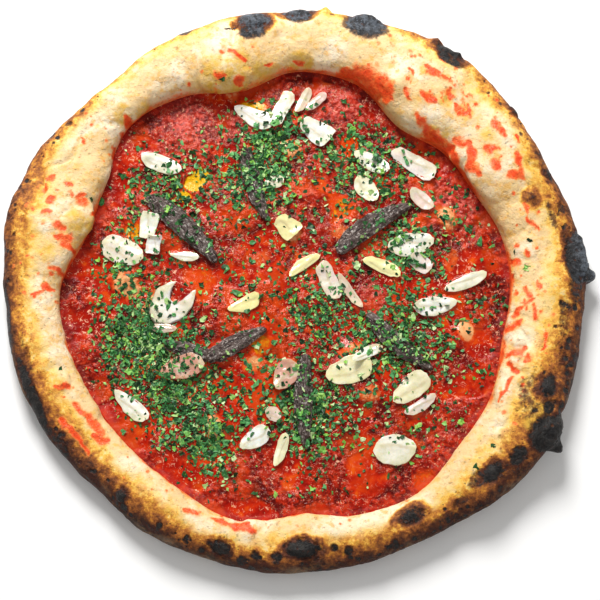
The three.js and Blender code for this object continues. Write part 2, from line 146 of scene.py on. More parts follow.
def colour(text):
    # a colour as seen on screen, such as "f2e4c8", made linear
    parts = [int(text[i : i + 2], 16) / 255 for i in (0, 2, 4)]
    return tuple(p / 12.92 if p < 0.04045 else ((p + 0.055) / 1.055) ** 2.4 for p in parts) + (1,)


def addNode(tree, kind, inputs=None, **settings):
    node = tree.nodes.new(kind)
    for key, value in settings.items():
        setattr(node, key, value)
    for key, value in (inputs or {}).items():
        if isinstance(value, bpy.types.NodeSocket):
            tree.links.new(value, node.inputs[key])
        else:
            node.inputs[key].default_value = value
    return node


def mathNode(tree, operation, a, b=0.0, c=0.0):
    node = addNode(tree, "ShaderNodeMath", {0: a, 1: b, 2: c}, operation=operation)
    return node.outputs[0]


def stepNode(tree, value, low, high, to=(0, 1)):
    node = addNode(
        tree, "ShaderNodeMapRange", {0: value, 1: low, 2: high, 3: to[0], 4: to[1]}, interpolation_type="SMOOTHSTEP"
    )
    return node.outputs[0]


def mixColour(tree, factor, a, b, blend="MIX"):
    node = addNode(tree, "ShaderNodeMix", {0: factor, 6: a, 7: b}, data_type="RGBA", blend_type=blend)
    return node.outputs[2]


def mark(tree, name):
    return addNode(tree, "ShaderNodeAttribute", attribute_name=name).outputs["Fac"]


def place(tree, scale=1.0):
    # the point's place in metres, times scale
    coords = addNode(tree, "ShaderNodeTexCoord").outputs["Object"]
    return addNode(tree, "ShaderNodeVectorMath", {0: coords, 3: scale}, operation="SCALE").outputs[0]


def noiseNode(tree, size, detail=3.0, roughness=0.55, vector=None, distortion=0.0):
    # size in millimetres
    inputs = {"Scale": 1 / (size * mm), "Detail": detail, "Roughness": roughness, "Distortion": distortion}
    if vector is None:
        vector = place(tree)
    inputs["Vector"] = vector
    return addNode(tree, "ShaderNodeTexNoise", inputs).outputs["Fac"]


def rampNode(tree, value, stops):
    # stops are places and colours
    ramp = addNode(tree, "ShaderNodeValToRGB", {0: value})
    bands = ramp.color_ramp.elements
    while len(bands) < len(stops):
        bands.new(0.5)
    for band, (position, text) in zip(bands, stops):
        band.position = position
        band.color = colour(text)
    return ramp.outputs[0]


def newGroup(name, inputs, outputs):
    group = bpy.data.node_groups.new(name, "ShaderNodeTree")
    for key, value in inputs.items():
        socket = group.interface.new_socket(key, in_out="INPUT", socket_type="NodeSocketFloat")
        socket.default_value = value
    for key in outputs:
        group.interface.new_socket(key, in_out="OUTPUT", socket_type="NodeSocketFloat")
    start = group.nodes.new("NodeGroupInput")
    end = group.nodes.new("NodeGroupOutput")
    return group, start.outputs, end.inputs


def useGroup(tree, group, **values):
    inputs = {key.replace("_", " "): value for key, value in values.items()}
    node = tree.nodes.new("ShaderNodeGroup")
    node.node_tree = group
    for key, value in inputs.items():
        if isinstance(value, bpy.types.NodeSocket):
            tree.links.new(value, node.inputs[key])
        else:
            node.inputs[key].default_value = value
    return node.outputs[0]


def buildRaggedEdge():
    # gives a soft mark a crisp, uneven edge
    group, given, out = newGroup(
        "raggedEdge", {"Mark": 0.0, "Grain": 600.0, "Ragged": 0.5, "Cut": 0.5, "Softness": 0.12}, ["Mask"]
    )
    tree = group
    coords = addNode(tree, "ShaderNodeTexCoord").outputs["Object"]
    grain = addNode(
        tree, "ShaderNodeTexNoise", {"Vector": coords, "Scale": given["Grain"], "Detail": 4.0, "Roughness": 0.6}
    ).outputs["Fac"]
    centred = mathNode(tree, "MULTIPLY_ADD", grain, 2.0, -1.0)
    pushed = mathNode(tree, "MULTIPLY_ADD", centred, given["Ragged"], given["Mark"])
    low = mathNode(tree, "SUBTRACT", given["Cut"], given["Softness"])
    high = mathNode(tree, "ADD", given["Cut"], given["Softness"])
    node = addNode(tree, "ShaderNodeMapRange", {0: pushed, 1: low, 2: high}, interpolation_type="SMOOTHSTEP")
    tree.links.new(node.outputs[0], out["Mask"])
    return group


def buildSpecks():
    # small round specks scattered over the surface
    group, given, out = newGroup("specks", {"Spacing": 400.0, "Reach": 0.3, "Share": 0.5}, ["Mask"])
    tree = group
    coords = addNode(tree, "ShaderNodeTexCoord").outputs["Object"]
    bend = addNode(tree, "ShaderNodeTexNoise", {"Vector": coords, "Scale": given["Spacing"], "Detail": 2.0})
    offset = addNode(
        tree, "ShaderNodeVectorMath", {0: bend.outputs["Color"], 3: 0.0012}, operation="SCALE"
    ).outputs[0]
    moved = addNode(tree, "ShaderNodeVectorMath", {0: coords, 1: offset}, operation="ADD").outputs[0]
    cells = addNode(tree, "ShaderNodeTexVoronoi", {"Vector": moved, "Scale": given["Spacing"]})
    pick = addNode(tree, "ShaderNodeSeparateColor", {0: cells.outputs["Color"]}).outputs[0]
    chosen = mathNode(tree, "LESS_THAN", pick, given["Share"])
    shrunk = mathNode(tree, "MULTIPLY", given["Reach"], 0.6)
    disc = addNode(
        tree,
        "ShaderNodeMapRange",
        {0: cells.outputs["Distance"], 1: given["Reach"], 2: shrunk, 3: 0.0, 4: 1.0},
        interpolation_type="SMOOTHSTEP",
    ).outputs[0]
    tree.links.new(mathNode(tree, "MULTIPLY", disc, chosen), out["Mask"])
    return group


def buildGrain():
    # height of a coarse and a fine grain together
    group, given, out = newGroup("grain", {"Coarse": 300.0, "Fine": 1500.0, "Fine Share": 0.4}, ["Height"])
    tree = group
    coords = addNode(tree, "ShaderNodeTexCoord").outputs["Object"]
    coarse = addNode(tree, "ShaderNodeTexNoise", {"Vector": coords, "Scale": given["Coarse"], "Detail": 4.0})
    fine = addNode(tree, "ShaderNodeTexNoise", {"Vector": coords, "Scale": given["Fine"], "Detail": 3.0})
    total = mathNode(
        tree, "MULTIPLY_ADD", fine.outputs["Fac"], given["Fine Share"], coarse.outputs["Fac"]
    )
    tree.links.new(total, out["Height"])
    return group


raggedEdge = buildRaggedEdge()
specks = buildSpecks()
grain = buildGrain()


def newMaterial(name):
    material = bpy.data.materials.new(name)
    material.use_nodes = True
    tree = material.node_tree
    return material, tree, tree.nodes["Principled BSDF"]


def feed(tree, shader, **sockets):
    for key, value in sockets.items():
        name = key.replace("_", " ")
        if isinstance(value, bpy.types.NodeSocket):
            tree.links.new(value, shader.inputs[name])
        else:
            shader.inputs[name].default_value = value


def bumpNode(tree, height, distance, strength=1.0):
    return addNode(
        tree, "ShaderNodeBump", {"Height": height, "Distance": distance * mm, "Strength": strength}
    ).outputs[0]


# ---- camera ----

cameraView = {
    "elevation": 74,
    "distance": 800,
    "scale": 0.54,  # millimetres to a picture point, at the aim
    "points": 600,  # picture width
    "aim": (1.1, -5.6, 10),  # from the rim's centre
}


def makeCamera(view):
    data = bpy.data.cameras.new("camera")
    camera = bpy.data.objects.new("camera", data)
    bpy.context.scene.collection.objects.link(camera)
    bpy.context.scene.camera = camera
    data.sensor_width = 36
    data.lens = view["distance"] / view["scale"] / view["points"] * data.sensor_width
    tilt = math.radians(view["elevation"])
    back = Vector((0, -math.cos(tilt), math.sin(tilt)))
    aim = Vector(view["aim"]) + Vector((*rimCentre, 0))
    camera.location = (aim + back * view["distance"]) * mm
    camera.rotation_euler = back.to_track_quat("Z", "Y").to_euler()


makeCamera(cameraView)
print("camera set")

# ---- dough ----

dough = {
    "outer": [154.5, 156, 155, 160, 165, 164, 166, 166, 164, 161, 165, 164.5,
              159, 157, 154, 150.5, 152, 151.5, 151, 150, 149, 155, 157, 154],
    "inner": [115, 116, 113, 114, 111, 126, 130, 122, 132, 134, 123, 120,
              129, 127, 124, 123.5, 124, 128, 121.5, 125, 126.5, 120, 118, 113],
    "crest": [19, 20, 23, 24, 25, 22, 20, 21, 19, 18, 18, 19,
              18, 17, 16, 16, 17, 16, 16, 15, 15, 19, 21, 20],
    "waist": 0.42,
    "fullness": 2.3,
    "undercut": 9,
    "base": 3.6,
    "steps": 960,
    "wallSteps": 12,
    "archSteps": 80,
    "bigPuffs": [  # angle, place across, size, rise
        (110, 128, 17, 4.5), (60, 120, 22, 2.5), (33, 140, 18, 3), (163, 140, 14, 3),
        (78, 80, 15, 1.5), (328, 60, 14, 2), (2, 60, 15, 2),
    ],
    "smallPuffs": {"count": 30, "size": (8, 16), "rise": (0.6, 2.2), "turn": (30, 150), "seed": 11},
    "blisters": [  # angle, radius, length, width, rise
        (99, 158, 16, 12.5, 2.4), (90, 162, 14, 7, 1.6), (76, 162, 17, 11.5, 3), (58, 160, 15, 7, 1.8),
        (40, 156, 8, 6, 1.4), (21, 136, 7, 6, 1.2), (25, 151, 8, 6, 1.2), (6.5, 153.5, 28.5, 17, 3.6),
        (3, 154.6, 9, 9, 6.4), (337, 142, 10.5, 7, 1.2), (329, 154, 19.5, 16, 4), (327.5, 156.6, 8, 8, 6.4),
        (315, 142, 10.5, 7, 1.2), (295, 136, 11.5, 7, 1.4), (271, 140, 16, 9, 1.8), (254, 145, 9, 6, 1.4),
        (231, 145, 7, 7, 1.6),
    ],
}


def rimSection(at, turn):
    # the rim's plain section: radius, height and its core
    outer = around(dough["outer"], at)
    half = (outer - around(dough["inner"], at)) / 2
    crest = around(dough["crest"], at)
    waist = dough["waist"] * crest
    across, up = np.cos(np.radians(turn)), np.sin(np.radians(turn))
    power = 2 / dough["fullness"]
    rounded = [np.sign(v) * np.abs(v) ** power for v in (across, up)]
    low = turn < 0
    radius = np.where(low, outer - dough["undercut"] * (1 - across), outer - half + half * rounded[0])
    height = np.where(low, waist * (1 + up), waist + (crest - waist) * rounded[1])
    return radius, height, outer - half, waist


def listPuffs():
    puffs = list(dough["bigPuffs"])
    small = dough["smallPuffs"]
    draw = makeDraw(small["seed"])
    for i in range(small["count"]):
        at = (i + draw()) * 360 / small["count"]
        turn, size, rise = (lerp(*small[key], draw()) for key in ("turn", "size", "rise"))
        puffs.append((at, turn, size, rise))
    return puffs


def skin(at, turn):
    # the rim's skin with its puffs, and the direction straight out of it
    at, turn = np.broadcast_arrays(np.asarray(at, float), np.asarray(turn, float))
    radius, height, core, waist = rimSection(at, turn)
    plain = np.stack([*polar(at, radius), height], -1)
    fade = np.minimum(1, np.minimum(np.maximum(0, turn) / 25, np.maximum(0, 180 - turn) / 30))
    lift = np.zeros(plain.shape[:-1])
    for puffAt, puffTurn, size, rise in listPuffs():
        r, z, _, _ = rimSection(np.array(puffAt, float), np.array(puffTurn, float))
        centre = np.array([*polar(puffAt, r), z])
        lift += rise * np.exp(-((plain - centre) ** 2).sum(-1) / size**2)
    lift *= fade
    out = np.stack([radius - core, height - waist], -1)
    out /= np.linalg.norm(out, axis=-1, keepdims=True) + 1e-9
    radius = radius + lift * out[..., 0]
    height = height + lift * out[..., 1]
    points = np.stack([*polar(at, radius), height], -1)
    outward = np.stack([*polar(at, out[..., 0]), out[..., 1]], -1)
    return points, outward


def turnAtRadius(at, radius):
    outer = around(dough["outer"], at)
    half = (outer - around(dough["inner"], at)) / 2
    across = np.clip((radius - outer + half) / half, -1, 1)
    return np.degrees(np.arccos(np.sign(across) * np.abs(across) ** (dough["fullness"] / 2)))


def blisterFrame(at, radius):
    # a blister's middle on the skin, and the directions along the rim, across it and out of it
    turn = float(turnAtRadius(at, radius))
    centre = skin(at, turn)[0]
    along = np.array([-math.sin(math.radians(at)), math.cos(math.radians(at)), 0])
    across = skin(at, turn + 3)[0] - skin(at, max(0, turn - 3))[0]
    across /= np.linalg.norm(across)
    out = np.cross(along, across)
    return centre, along, np.cross(out, along), out


crust = {  # finer shape and browning
    "waves": [(15, 0.8, 1), (7, 0.5, 2), (2.6, 0.2, 3), (1.3, 0.09, 4)],  # size, height, seed
    "seams": {"size": 21, "width": 0.1, "depth": 1.1, "seed": 6},  # creases between lobes
    "domes": [  # x, y, radius, rise
        (-41, 119, 13, 2.4), (-110, 66, 12, 1.6), (-118, 38, 9, 1.7), (-139, 38, 10, 1.1), (-134, 12, 8, 1.2),
        (-124, -4, 8, 1.0), (109, 61, 15, 1.5), (117, 38, 9, 1.6), (125, 23, 8, 1.2), (122, 8, 7, 1.0),
        (119, -26, 8, 1.4), (2, 128, 9, 0.9), (52, 116, 10, 1.0), (86, 74, 5, 1.4), (-118, -52, 9, 0.9),
        (-88, -94, 10, 0.9), (-40, -131, 12, 0.8), (40, -131, 11, 0.8), (88, -100, 10, 1.0), (112, -58, 9, 1.0),
    ],
    "creases": [  # from, to, width, depth
        ((-34.5, 158), (-37, 139), 1.6, 1.8),
        ((-37, 139), (-44, 128), 2.2, 1.2),
        ((-66, 131), (-60, 118), 3, 1.4),
        ((121, 59), (133, 51), 2.6, 1.3),
        ((132, -64), (146, -72), 1.8, 1.0),
        ((112, -12), (128, -22), 1.4, 0.9),
        ((116, -20), (124, -34), 1.2, 0.8),
    ],
    "soot": {(21, 136): 0.6, (25, 151): 0.8, (40, 156): 0.8, (295, 136): 0.85, (231, 145): 0.85},  # paler blisters
    "peaks": [(84.5, 164, 4.5, 3.2), (61.5, 163, 5, 2.6), (56, 160, 3.5, 2.2), (64, 128, 6, 1.4), (95, 150, 5, 1.2)],
    "thin": [(-41, 119, 16), (-31, 128, 9), (-20, 126, 8), (2, 130, 9), (-118, 36, 9), (78, 88, 8), (-84, 100, 8), (121, -75, 5), (127, -69, 6), (-136, 20, 7), (82, 106, 6),
             (92, 98, 6), (70, 122, 4), (104, 84, 5), (-97, 100, 7)],
    # place across the rim where browning starts, and its depth, at every 30 degrees
    "bakeStart": [106, 90, 78, 72, 76, 92, 104, 112, 114, 112, 116, 120],
    "bakeDepth": [0.85, 0.95, 0.82, 0.62, 0.65, 0.8, 0.95, 1.05, 1.05, 1.0, 1.05, 0.85],
    "bakeReach": 104,
    "char": [  # angle, radius, length, width, strength
        (187, 157, 46, 5, 0.9), (203, 152, 52, 7, 0.95), (215, 151, 30, 5, 0.7),
        (0, 149, 22, 9, 0.62), (5, 150, 32, 13, 1), (333, 147, 9, 7, 0.85), (321, 147, 13, 8, 0.9),
        (328, 152, 24, 18, 1), (113, 163, 9, 4, 0.7), (147, 163, 5, 3, 0.7), (306, 143, 10, 5, 0.6),
        (76, 157, 27, 19, 1), (57, 155, 18, 7, 0.9), (99.8, 150.5, 17, 11, 0.9), (90, 159, 17, 10, 0.8),
        (262, 148, 12, 4, 0.6), (240, 149, 14, 4, 0.6), (17, 150, 7, 5, 0.6), (345, 152, 8, 6, 0.7),
        (296, 137, 14, 8, 0.7), (312, 140, 16, 8, 0.6), (338, 143, 12, 7, 0.6), (104, 155, 8, 1.2, 0.8),
        (334, 138, 30, 20, 0.42), (346, 146, 24, 12, 0.3), (353, 143, 22, 7, 0.42), (300, 146, 40, 7, 0.42),
        (318, 148, 24, 8, 0.45), (283, 149, 34, 6, 0.4), (262, 150, 30, 5, 0.45), (225, 150, 26, 7, 0.45),
        (16, 143, 20, 5, 0.45), (30, 152, 18, 5, 0.4), (172, 158, 24, 5, 0.4), (196, 150, 30, 7, 0.4),
    ],
    "spots": [  # angles, places across, count, size, strength
        ((185, 300), (8, 66), 120, (0.8, 2.4), (0.5, 1)),
        ((300, 356), (8, 84), 80, (0.8, 2.6), (0.5, 1)),
        ((-4, 60), (10, 66), 46, (0.6, 2.0), (0.5, 0.9)),
        ((60, 130), (12, 44), 24, (0.6, 1.6), (0.4, 0.8)),
        ((130, 185), (12, 52), 60, (0.6, 2.0), (0.4, 0.9)),
    ],
    "scorches": [  # x, y, radius
        (-37, -140, 2.4), (-29, -146, 3), (-22, -143, 2.4), (-24, -149, 2), (-11, -144, 3.4), (-45, -137, 1.8),
        (-49, -140, 2), (0, -141, 2.6), (9, -139, 1.8), (19, -139, 2.2), (-57, -134, 1.6), (26, -141, 3),
        (50, -137, 2.4), (60, -134, 2), (-71, -128, 2), (-90, -118, 2.4), (121, -82, 2), (141, -40, 2.2),
        (143, -48, 2.6), (141, -57, 2), (144, -30, 2), (-133, 86, 1.6), (-149, 61, 1.4),
    ],
    "smears": [  # from x, y, to x, y and width, of the tomato that ran over the rim
        (25, 125, 35, 122, 3.8), (32, 124, 42, 116, 7), (41, 117, 49, 111, 7.6), (46, 115, 50, 108, 4.3),
        (17, 126, 26, 125, 1.6), (65, 96, 71, 91, 3.8), (70, 92, 77, 83, 4.3), (77, 83, 85, 78, 4.3),
        (85, 78, 87, 70, 3.2), (87, 82, 95, 80, 3.8), (95, 78, 94, 69, 3.2), (94, 70, 98, 62, 3.2),
        (62, 124, 63, 120, 2.2), (60, 112, 61, 106, 2.7), (68, 109, 75, 104, 2.7), (71, 121, 83, 116, 2.6),
        (72, 125, 77, 121, 2), (83, 111, 86, 106, 2.7), (86, 102, 91, 99, 2), (89, 97, 95, 97, 2.4),
        (94, 102, 96, 94, 1.4), (108, 92, 109, 88, 2.7), (111, 88, 114, 84, 2.7), (103, 77, 110, 76, 3.2),
        (118, 72, 121, 67, 3), (114, 61, 122, 60, 3.2), (122, 65, 122, 61, 2.2), (106, 69, 109, 65, 2.7),
        (119, 85, 120, 81, 1.6), (122, 45, 125, 40, 1.6), (124, 38, 130, 31, 2.2), (77, 131, 81, 128, 1.6),
        (-45, 122, -42, 120, 3.8), (-35, 119, -31, 120, 3.2), (-33, 120, -33, 117, 2.7),
        (-38, 134, -29, 130, 2.2), (-44, 134, -42, 133, 2), (-37, 111, -36, 111, 1.6), (-31, 113, -31, 111, 1.6),
        (-3, 132, 3, 131, 1.8), (-17, 130, -14, 130, 1.8), (-1, 124, 4, 123, 2.2), (10, 124, 12, 123, 1.6),
        (-95, 98, -93, 92, 2.7), (-97, 90, -94, 84, 2.2), (-119, 51, -116, 53, 3), (-118, 48, -116, 48, 3.8),
        (-127, 59, -123, 58, 2.2), (-138, 61, -134, 62, 2.2), (-139, 57, -138, 53, 2.2),
        (-136, 48, -132, 49, 2.2), (-137, 42, -134, 41, 3.2), (-123, 54, -122, 52, 1.6),
        (-132, 34, -126, 33, 3.6), (-131, 28, -123, 28, 4.3), (-127, 25, -123, 21, 3.2),
        (-112, 43, -110, 42, 2.2), (-133, 9, -125, 8, 2.4), (-136, 0, -133, -2, 3), (-141, -6, -135, -4, 1.6),
        (-120, 85, -118, 82, 1.6), (-103, 82, -100, 73, 3.2), (-127, -54, -122, -56, 2.7),
        (-117, -64, -109, -72, 3), (-110, -71, -103, -80, 3.6), (-107, -81, -100, -84, 3),
        (-124, -72, -118, -80, 2.2), (-119, -79, -112, -87, 2.2), (-114, -85, -110, -90, 2),
        (-58, -119, -50, -122, 2.2), (-43, -125, -31, -129, 3.2), (-33, -128, -22, -130, 2.7),
        (123, 20, 125, 17, 2.2), (116, 15, 119, 13, 3.2), (114, 8, 116, 6, 2.2), (128, 3, 129, -2, 1.6),
        (122, -1, 124, -5, 3.2), (120, -8, 125, -8, 2.2), (125, -11, 126, -19, 1.6), (115, -16, 120, -12, 2.7),
        (112, -23, 118, -19, 3.8), (122, -15, 120, -6, 1.6), (131, -26, 130, -35, 1.6),
        (113, -38, 120, -35, 3.8), (119, -42, 122, -39, 2.2), (112, -43, 116, -48, 3.2),
        (112, -51, 109, -57, 2.2), (108, -58, 105, -62, 1.6),
    ],
    "dots": [  # angles, radii, count and size of the smaller drips
        ((30, 74), (126, 156), 60, (0.5, 1.5)),
        ((100, 122), (118, 150), 26, (0.4, 1.3)),
        ((138, 184), (128, 155), 46, (0.5, 1.5)),
        ((203, 240), (126, 140), 16, (0.5, 1.4)),
        ((326, 384), (117, 138), 34, (0.5, 1.6)),
        ((240, 300), (124, 130), 14, (0.5, 1.2)),
        ((46, 54), (131, 147), 26, (0.6, 1.4)),
    ],
    "seed": 71,
}


def ellipseMark(points, centre, along, half, depth=None):
    # 1 in the middle of an ellipse on the plan, falling to 0 at its edge and on to minus 1
    delta = points[:, :2] - centre[:2]
    u = delta @ along / half[0]
    v = (delta[:, 1] * along[0] - delta[:, 0] * along[1]) / half[1]
    return 1 - np.sqrt(u * u + v * v)


def segmentFall(points, start, end, width):
    start, end = np.array(start, float), np.array(end, float)
    way = end - start
    delta = points[:, :2] - start
    t = np.clip(delta @ way / (way @ way), 0, 1)
    gap = np.linalg.norm(delta - t[:, None] * way, axis=1)
    return np.exp(-((gap / width) ** 2)) * np.sin(np.pi * (0.12 + 0.76 * t))


def shapeCrust(at, turn):
    points, out = skin(at, turn)
    shape = points.shape[:-1]
    flat = points.reshape(-1, 3)
    out = out.reshape(-1, 3)
    turnFlat = turn.ravel()
    calm = smoothStep(-88, -55, turnFlat) * smoothStep(184, 168, turnFlat)
    lift = sum(height * valueNoise(flat, size, seed) for size, height, seed in crust["waves"])
    seams = crust["seams"]
    level = np.abs(roughNoise(flat, seams["size"], 2, seams["seed"])) / seams["width"]
    broken = smoothStep(-0.1, 0.35, valueNoise(flat, 30, seams["seed"] + 9)) * smoothStep(20, 60, turnFlat)
    lift -= seams["depth"] * broken * np.exp(-level * level)
    for x, y, size, rise in crust["domes"]:
        away = np.hypot(flat[:, 0] - x, flat[:, 1] - y) / size * (1 + 0.35 * valueNoise(flat, 8, 8))
        lift += rise * np.clip(1 - away * away, 0, 1) ** 0.8
    for start, end, width, depth in crust["creases"]:
        lift -= depth * segmentFall(flat, start, end, width)
    shift = out * (lift * calm)[:, None]
    tallest, halo = np.zeros(len(flat)), np.zeros(len(flat))
    bump = np.zeros_like(flat)
    ragged = roughNoise(flat, 5, 3, 9)
    for blisterAt, radius, length, width, rise in dough["blisters"]:
        centre, along, side, outDir = blisterFrame(blisterAt, radius)
        delta = flat - centre
        away = (delta @ along / (length / 2)) ** 2 + (delta @ side / (width / 2)) ** 2
        away = np.where(np.abs(delta @ outDir) < 14, away, 9) * (1 + 0.45 * ragged)
        height = rise * np.clip(1 - away, 0, 1) ** 0.7
        higher = height > tallest
        tallest = np.where(higher, height, tallest)
        gap = (np.sqrt(away) - 1) * min(length, width) / 2
        halo = np.maximum(halo, crust["soot"].get((blisterAt, radius), 1) * smoothStep(6.5, -3.5, gap))
        bump[higher] = height[higher, None] * outDir
    bump *= (1 + 0.16 * valueNoise(flat, 1.5, 12))[:, None]
    for peakAt, radius, size, rise in crust["peaks"]:
        centre, _, _, outDir = blisterFrame(peakAt, radius)
        away = np.linalg.norm(flat - centre, axis=1) / size * (1 + 0.3 * ragged)
        bump += np.outer(rise * np.clip(1 - away, 0, 1), outDir)
    shaped = flat + shift + bump
    shaped[:, 2] = np.maximum(shaped[:, 2], 0)
    return shaped.reshape(*shape, 3), halo


def strokeMark(points, stroke):
    # 1 along the middle of a stroke on the plan, 0 at its edge and below outside it
    x0, y0, x1, y1, width = stroke
    way = np.array([x1 - x0, y1 - y0], float)
    warp = np.stack([valueNoise(points, 4.5, 36), valueNoise(points, 4.5, 37)], -1)
    delta = points[:, :2] + 1.9 * warp - (x0, y0)
    t = np.clip(delta @ way / (way @ way), 0, 1)
    thinner = 1 - 0.35 * np.abs(2 * t - 1)
    return 1 - np.linalg.norm(delta - t[:, None] * way, axis=1) / (0.78 * width * thinner)


def markCrust(points, at, turn, halo):
    # how baked, charred and stained each point is
    flat = points.reshape(-1, 3)
    atFlat, turnFlat = at.ravel(), turn.ravel()
    start = around(crust["bakeStart"], atFlat)
    drift = 17 * roughNoise(flat, 22, 3, 21) + 7 * roughNoise(flat, 6, 2, 25)
    bake = np.clip((start - turnFlat + drift) / crust["bakeReach"], 0, 1.1) * around(crust["bakeDepth"], atFlat)
    bake = np.maximum(bake, 0.5 * smoothStep(0, 0.4, halo))
    char = smoothStep(0.2, 0.95, halo)
    ragged = roughNoise(flat, 4, 2, 24)
    for charAt, charRadius, length, width, strength in crust["char"]:
        along = np.array([-math.sin(math.radians(charAt)), math.cos(math.radians(charAt))])
        inside = ellipseMark(flat, np.array(polar(charAt, charRadius)), along, (length / 2, width / 2))
        char = np.maximum(char, strength * smoothStep(-0.25, 0.4, inside))
    draw = makeDraw(crust["seed"])
    for angles, turns, count, sizes, strengths in crust["spots"]:
        for _ in range(count):
            spotAt, spotTurn = lerp(*angles, draw()), lerp(*turns, draw())
            size, strength = lerp(*sizes, draw() ** 2), lerp(*strengths, draw())
            centre = skin(spotAt, spotTurn)[0]
            near = np.abs(flat[:, 0] - centre[0]) + np.abs(flat[:, 1] - centre[1]) < 3 * size
            gap = np.linalg.norm(flat[near] - centre, axis=1)
            char[near] = np.maximum(char[near], strength * smoothStep(size * 1.35, size * 0.4, gap))
    for x, y, size in crust["scorches"]:
        gap = np.hypot(flat[:, 0] - x, flat[:, 1] - y) / size + 0.3 * ragged
        char = np.maximum(char, 0.95 * smoothStep(1.4, 0.35, gap) * smoothStep(2, 12, turnFlat))
    wash = smoothStep(-0.35, 0.45, roughNoise(flat, 26, 2, 38))
    edge = lerp(0.12, 0.95, wash) * smoothStep(152, 176, turnFlat + 16 * roughNoise(flat, 9, 3, 31))
    stain = edge
    for stroke in crust["smears"]:
        reach = stroke[4] + 2
        near = (np.abs(flat[:, 0] - (stroke[0] + stroke[2]) / 2) < abs(stroke[0] - stroke[2]) / 2 + reach) & (
            np.abs(flat[:, 1] - (stroke[1] + stroke[3]) / 2) < abs(stroke[1] - stroke[3]) / 2 + reach
        )
        inside = strokeMark(flat[near], stroke) + 0.55 * roughNoise(flat[near], 3, 2, 33)
        stain[near] = np.maximum(stain[near], smoothStep(-0.6, 0.8, inside))
    for angles, radii, count, sizes in crust["dots"]:
        for _ in range(count):
            x, y = polar(lerp(*angles, draw()), lerp(*radii, draw()))
            size = lerp(*sizes, draw() ** 2)
            near = np.abs(flat[:, 0] - x) + np.abs(flat[:, 1] - y) < 3 * size
            gap = np.hypot(flat[near, 0] - x, flat[near, 1] - y) / size
            stain[near] = np.maximum(stain[near], lerp(0.5, 0.95, draw()) * smoothStep(1.5, 0.5, gap))
    stain *= smoothStep(14, 36, turnFlat)
    thin = np.zeros(len(flat))
    for x, y, size in crust["thin"]:
        away = np.hypot(flat[:, 0] - x, flat[:, 1] - y) / size + 0.25 * roughNoise(flat, 6, 3, 39)
        thin = np.maximum(thin, smoothStep(1.1, 0.55, away))
    ashen = np.maximum(smoothStep(144, 158, flat[:, 0]), 0.8 * smoothStep(142, 152, flat[:, 1]))
    nothing = np.zeros(len(flat))
    return {"bake": bake, "char": char, "stain": stain, "thin": thin, "under": nothing, "ashen": ashen}


def makeDough():
    steps = dough["steps"]
    turns = np.concatenate(
        [-90 + 90 * np.arange(dough["wallSteps"]) / dough["wallSteps"],
         180 * np.arange(dough["archSteps"] + 1) / dough["archSteps"]]
    )
    angles = 360 * np.arange(steps) / steps
    at, turn = np.meshgrid(angles, turns)
    points, halo = shapeCrust(at, turn)
    marks = markCrust(points, at, turn, halo)
    rings = [points[k] for k in range(len(turns))]
    edge = points[0].copy()
    underside = [edge * np.array([share, share, 0]) for share in (0.25, 0.55, 0.8, 0.93)]
    floorRing = np.stack([*polar(angles, around(dough["inner"], angles)), np.full(steps, dough["base"])], -1)
    allRings = underside + rings + [floorRing]
    flat = np.concatenate(allRings + [np.zeros((1, 3)), np.array([[0, 0, dough["base"]]])])
    i = np.arange(steps)
    j = (i + 1) % steps
    quads = np.concatenate(
        [np.stack([k * steps + i, k * steps + j, (k + 1) * steps + j, (k + 1) * steps + i], 1)
         for k in range(len(allRings) - 1)]
    )
    first, last = len(flat) - 2, len(flat) - 1
    top = (len(allRings) - 1) * steps
    fans = np.concatenate(
        [np.stack([np.full(steps, first), j, i], 1), np.stack([np.full(steps, last), top + i, top + j], 1)]
    )
    lead = steps * len(underside)
    tail = steps + 2
    pad = {"bake": (0.45, 0), "char": (0, 0), "stain": (0, 1), "thin": (0, 0), "under": (1, 0), "ashen": (0, 0)}
    marks = {
        key: np.concatenate([np.full(lead, pad[key][0]), values, np.full(tail, pad[key][1])])
        for key, values in marks.items()
    }
    marks["under"][lead : lead + steps * 2] = 1
    marks["under"][first], marks["stain"][first] = 1, 0
    piece = makePiece("doughCrust", flat, [quads[:, ::-1], fans[:, ::-1]], marks)
    return piece


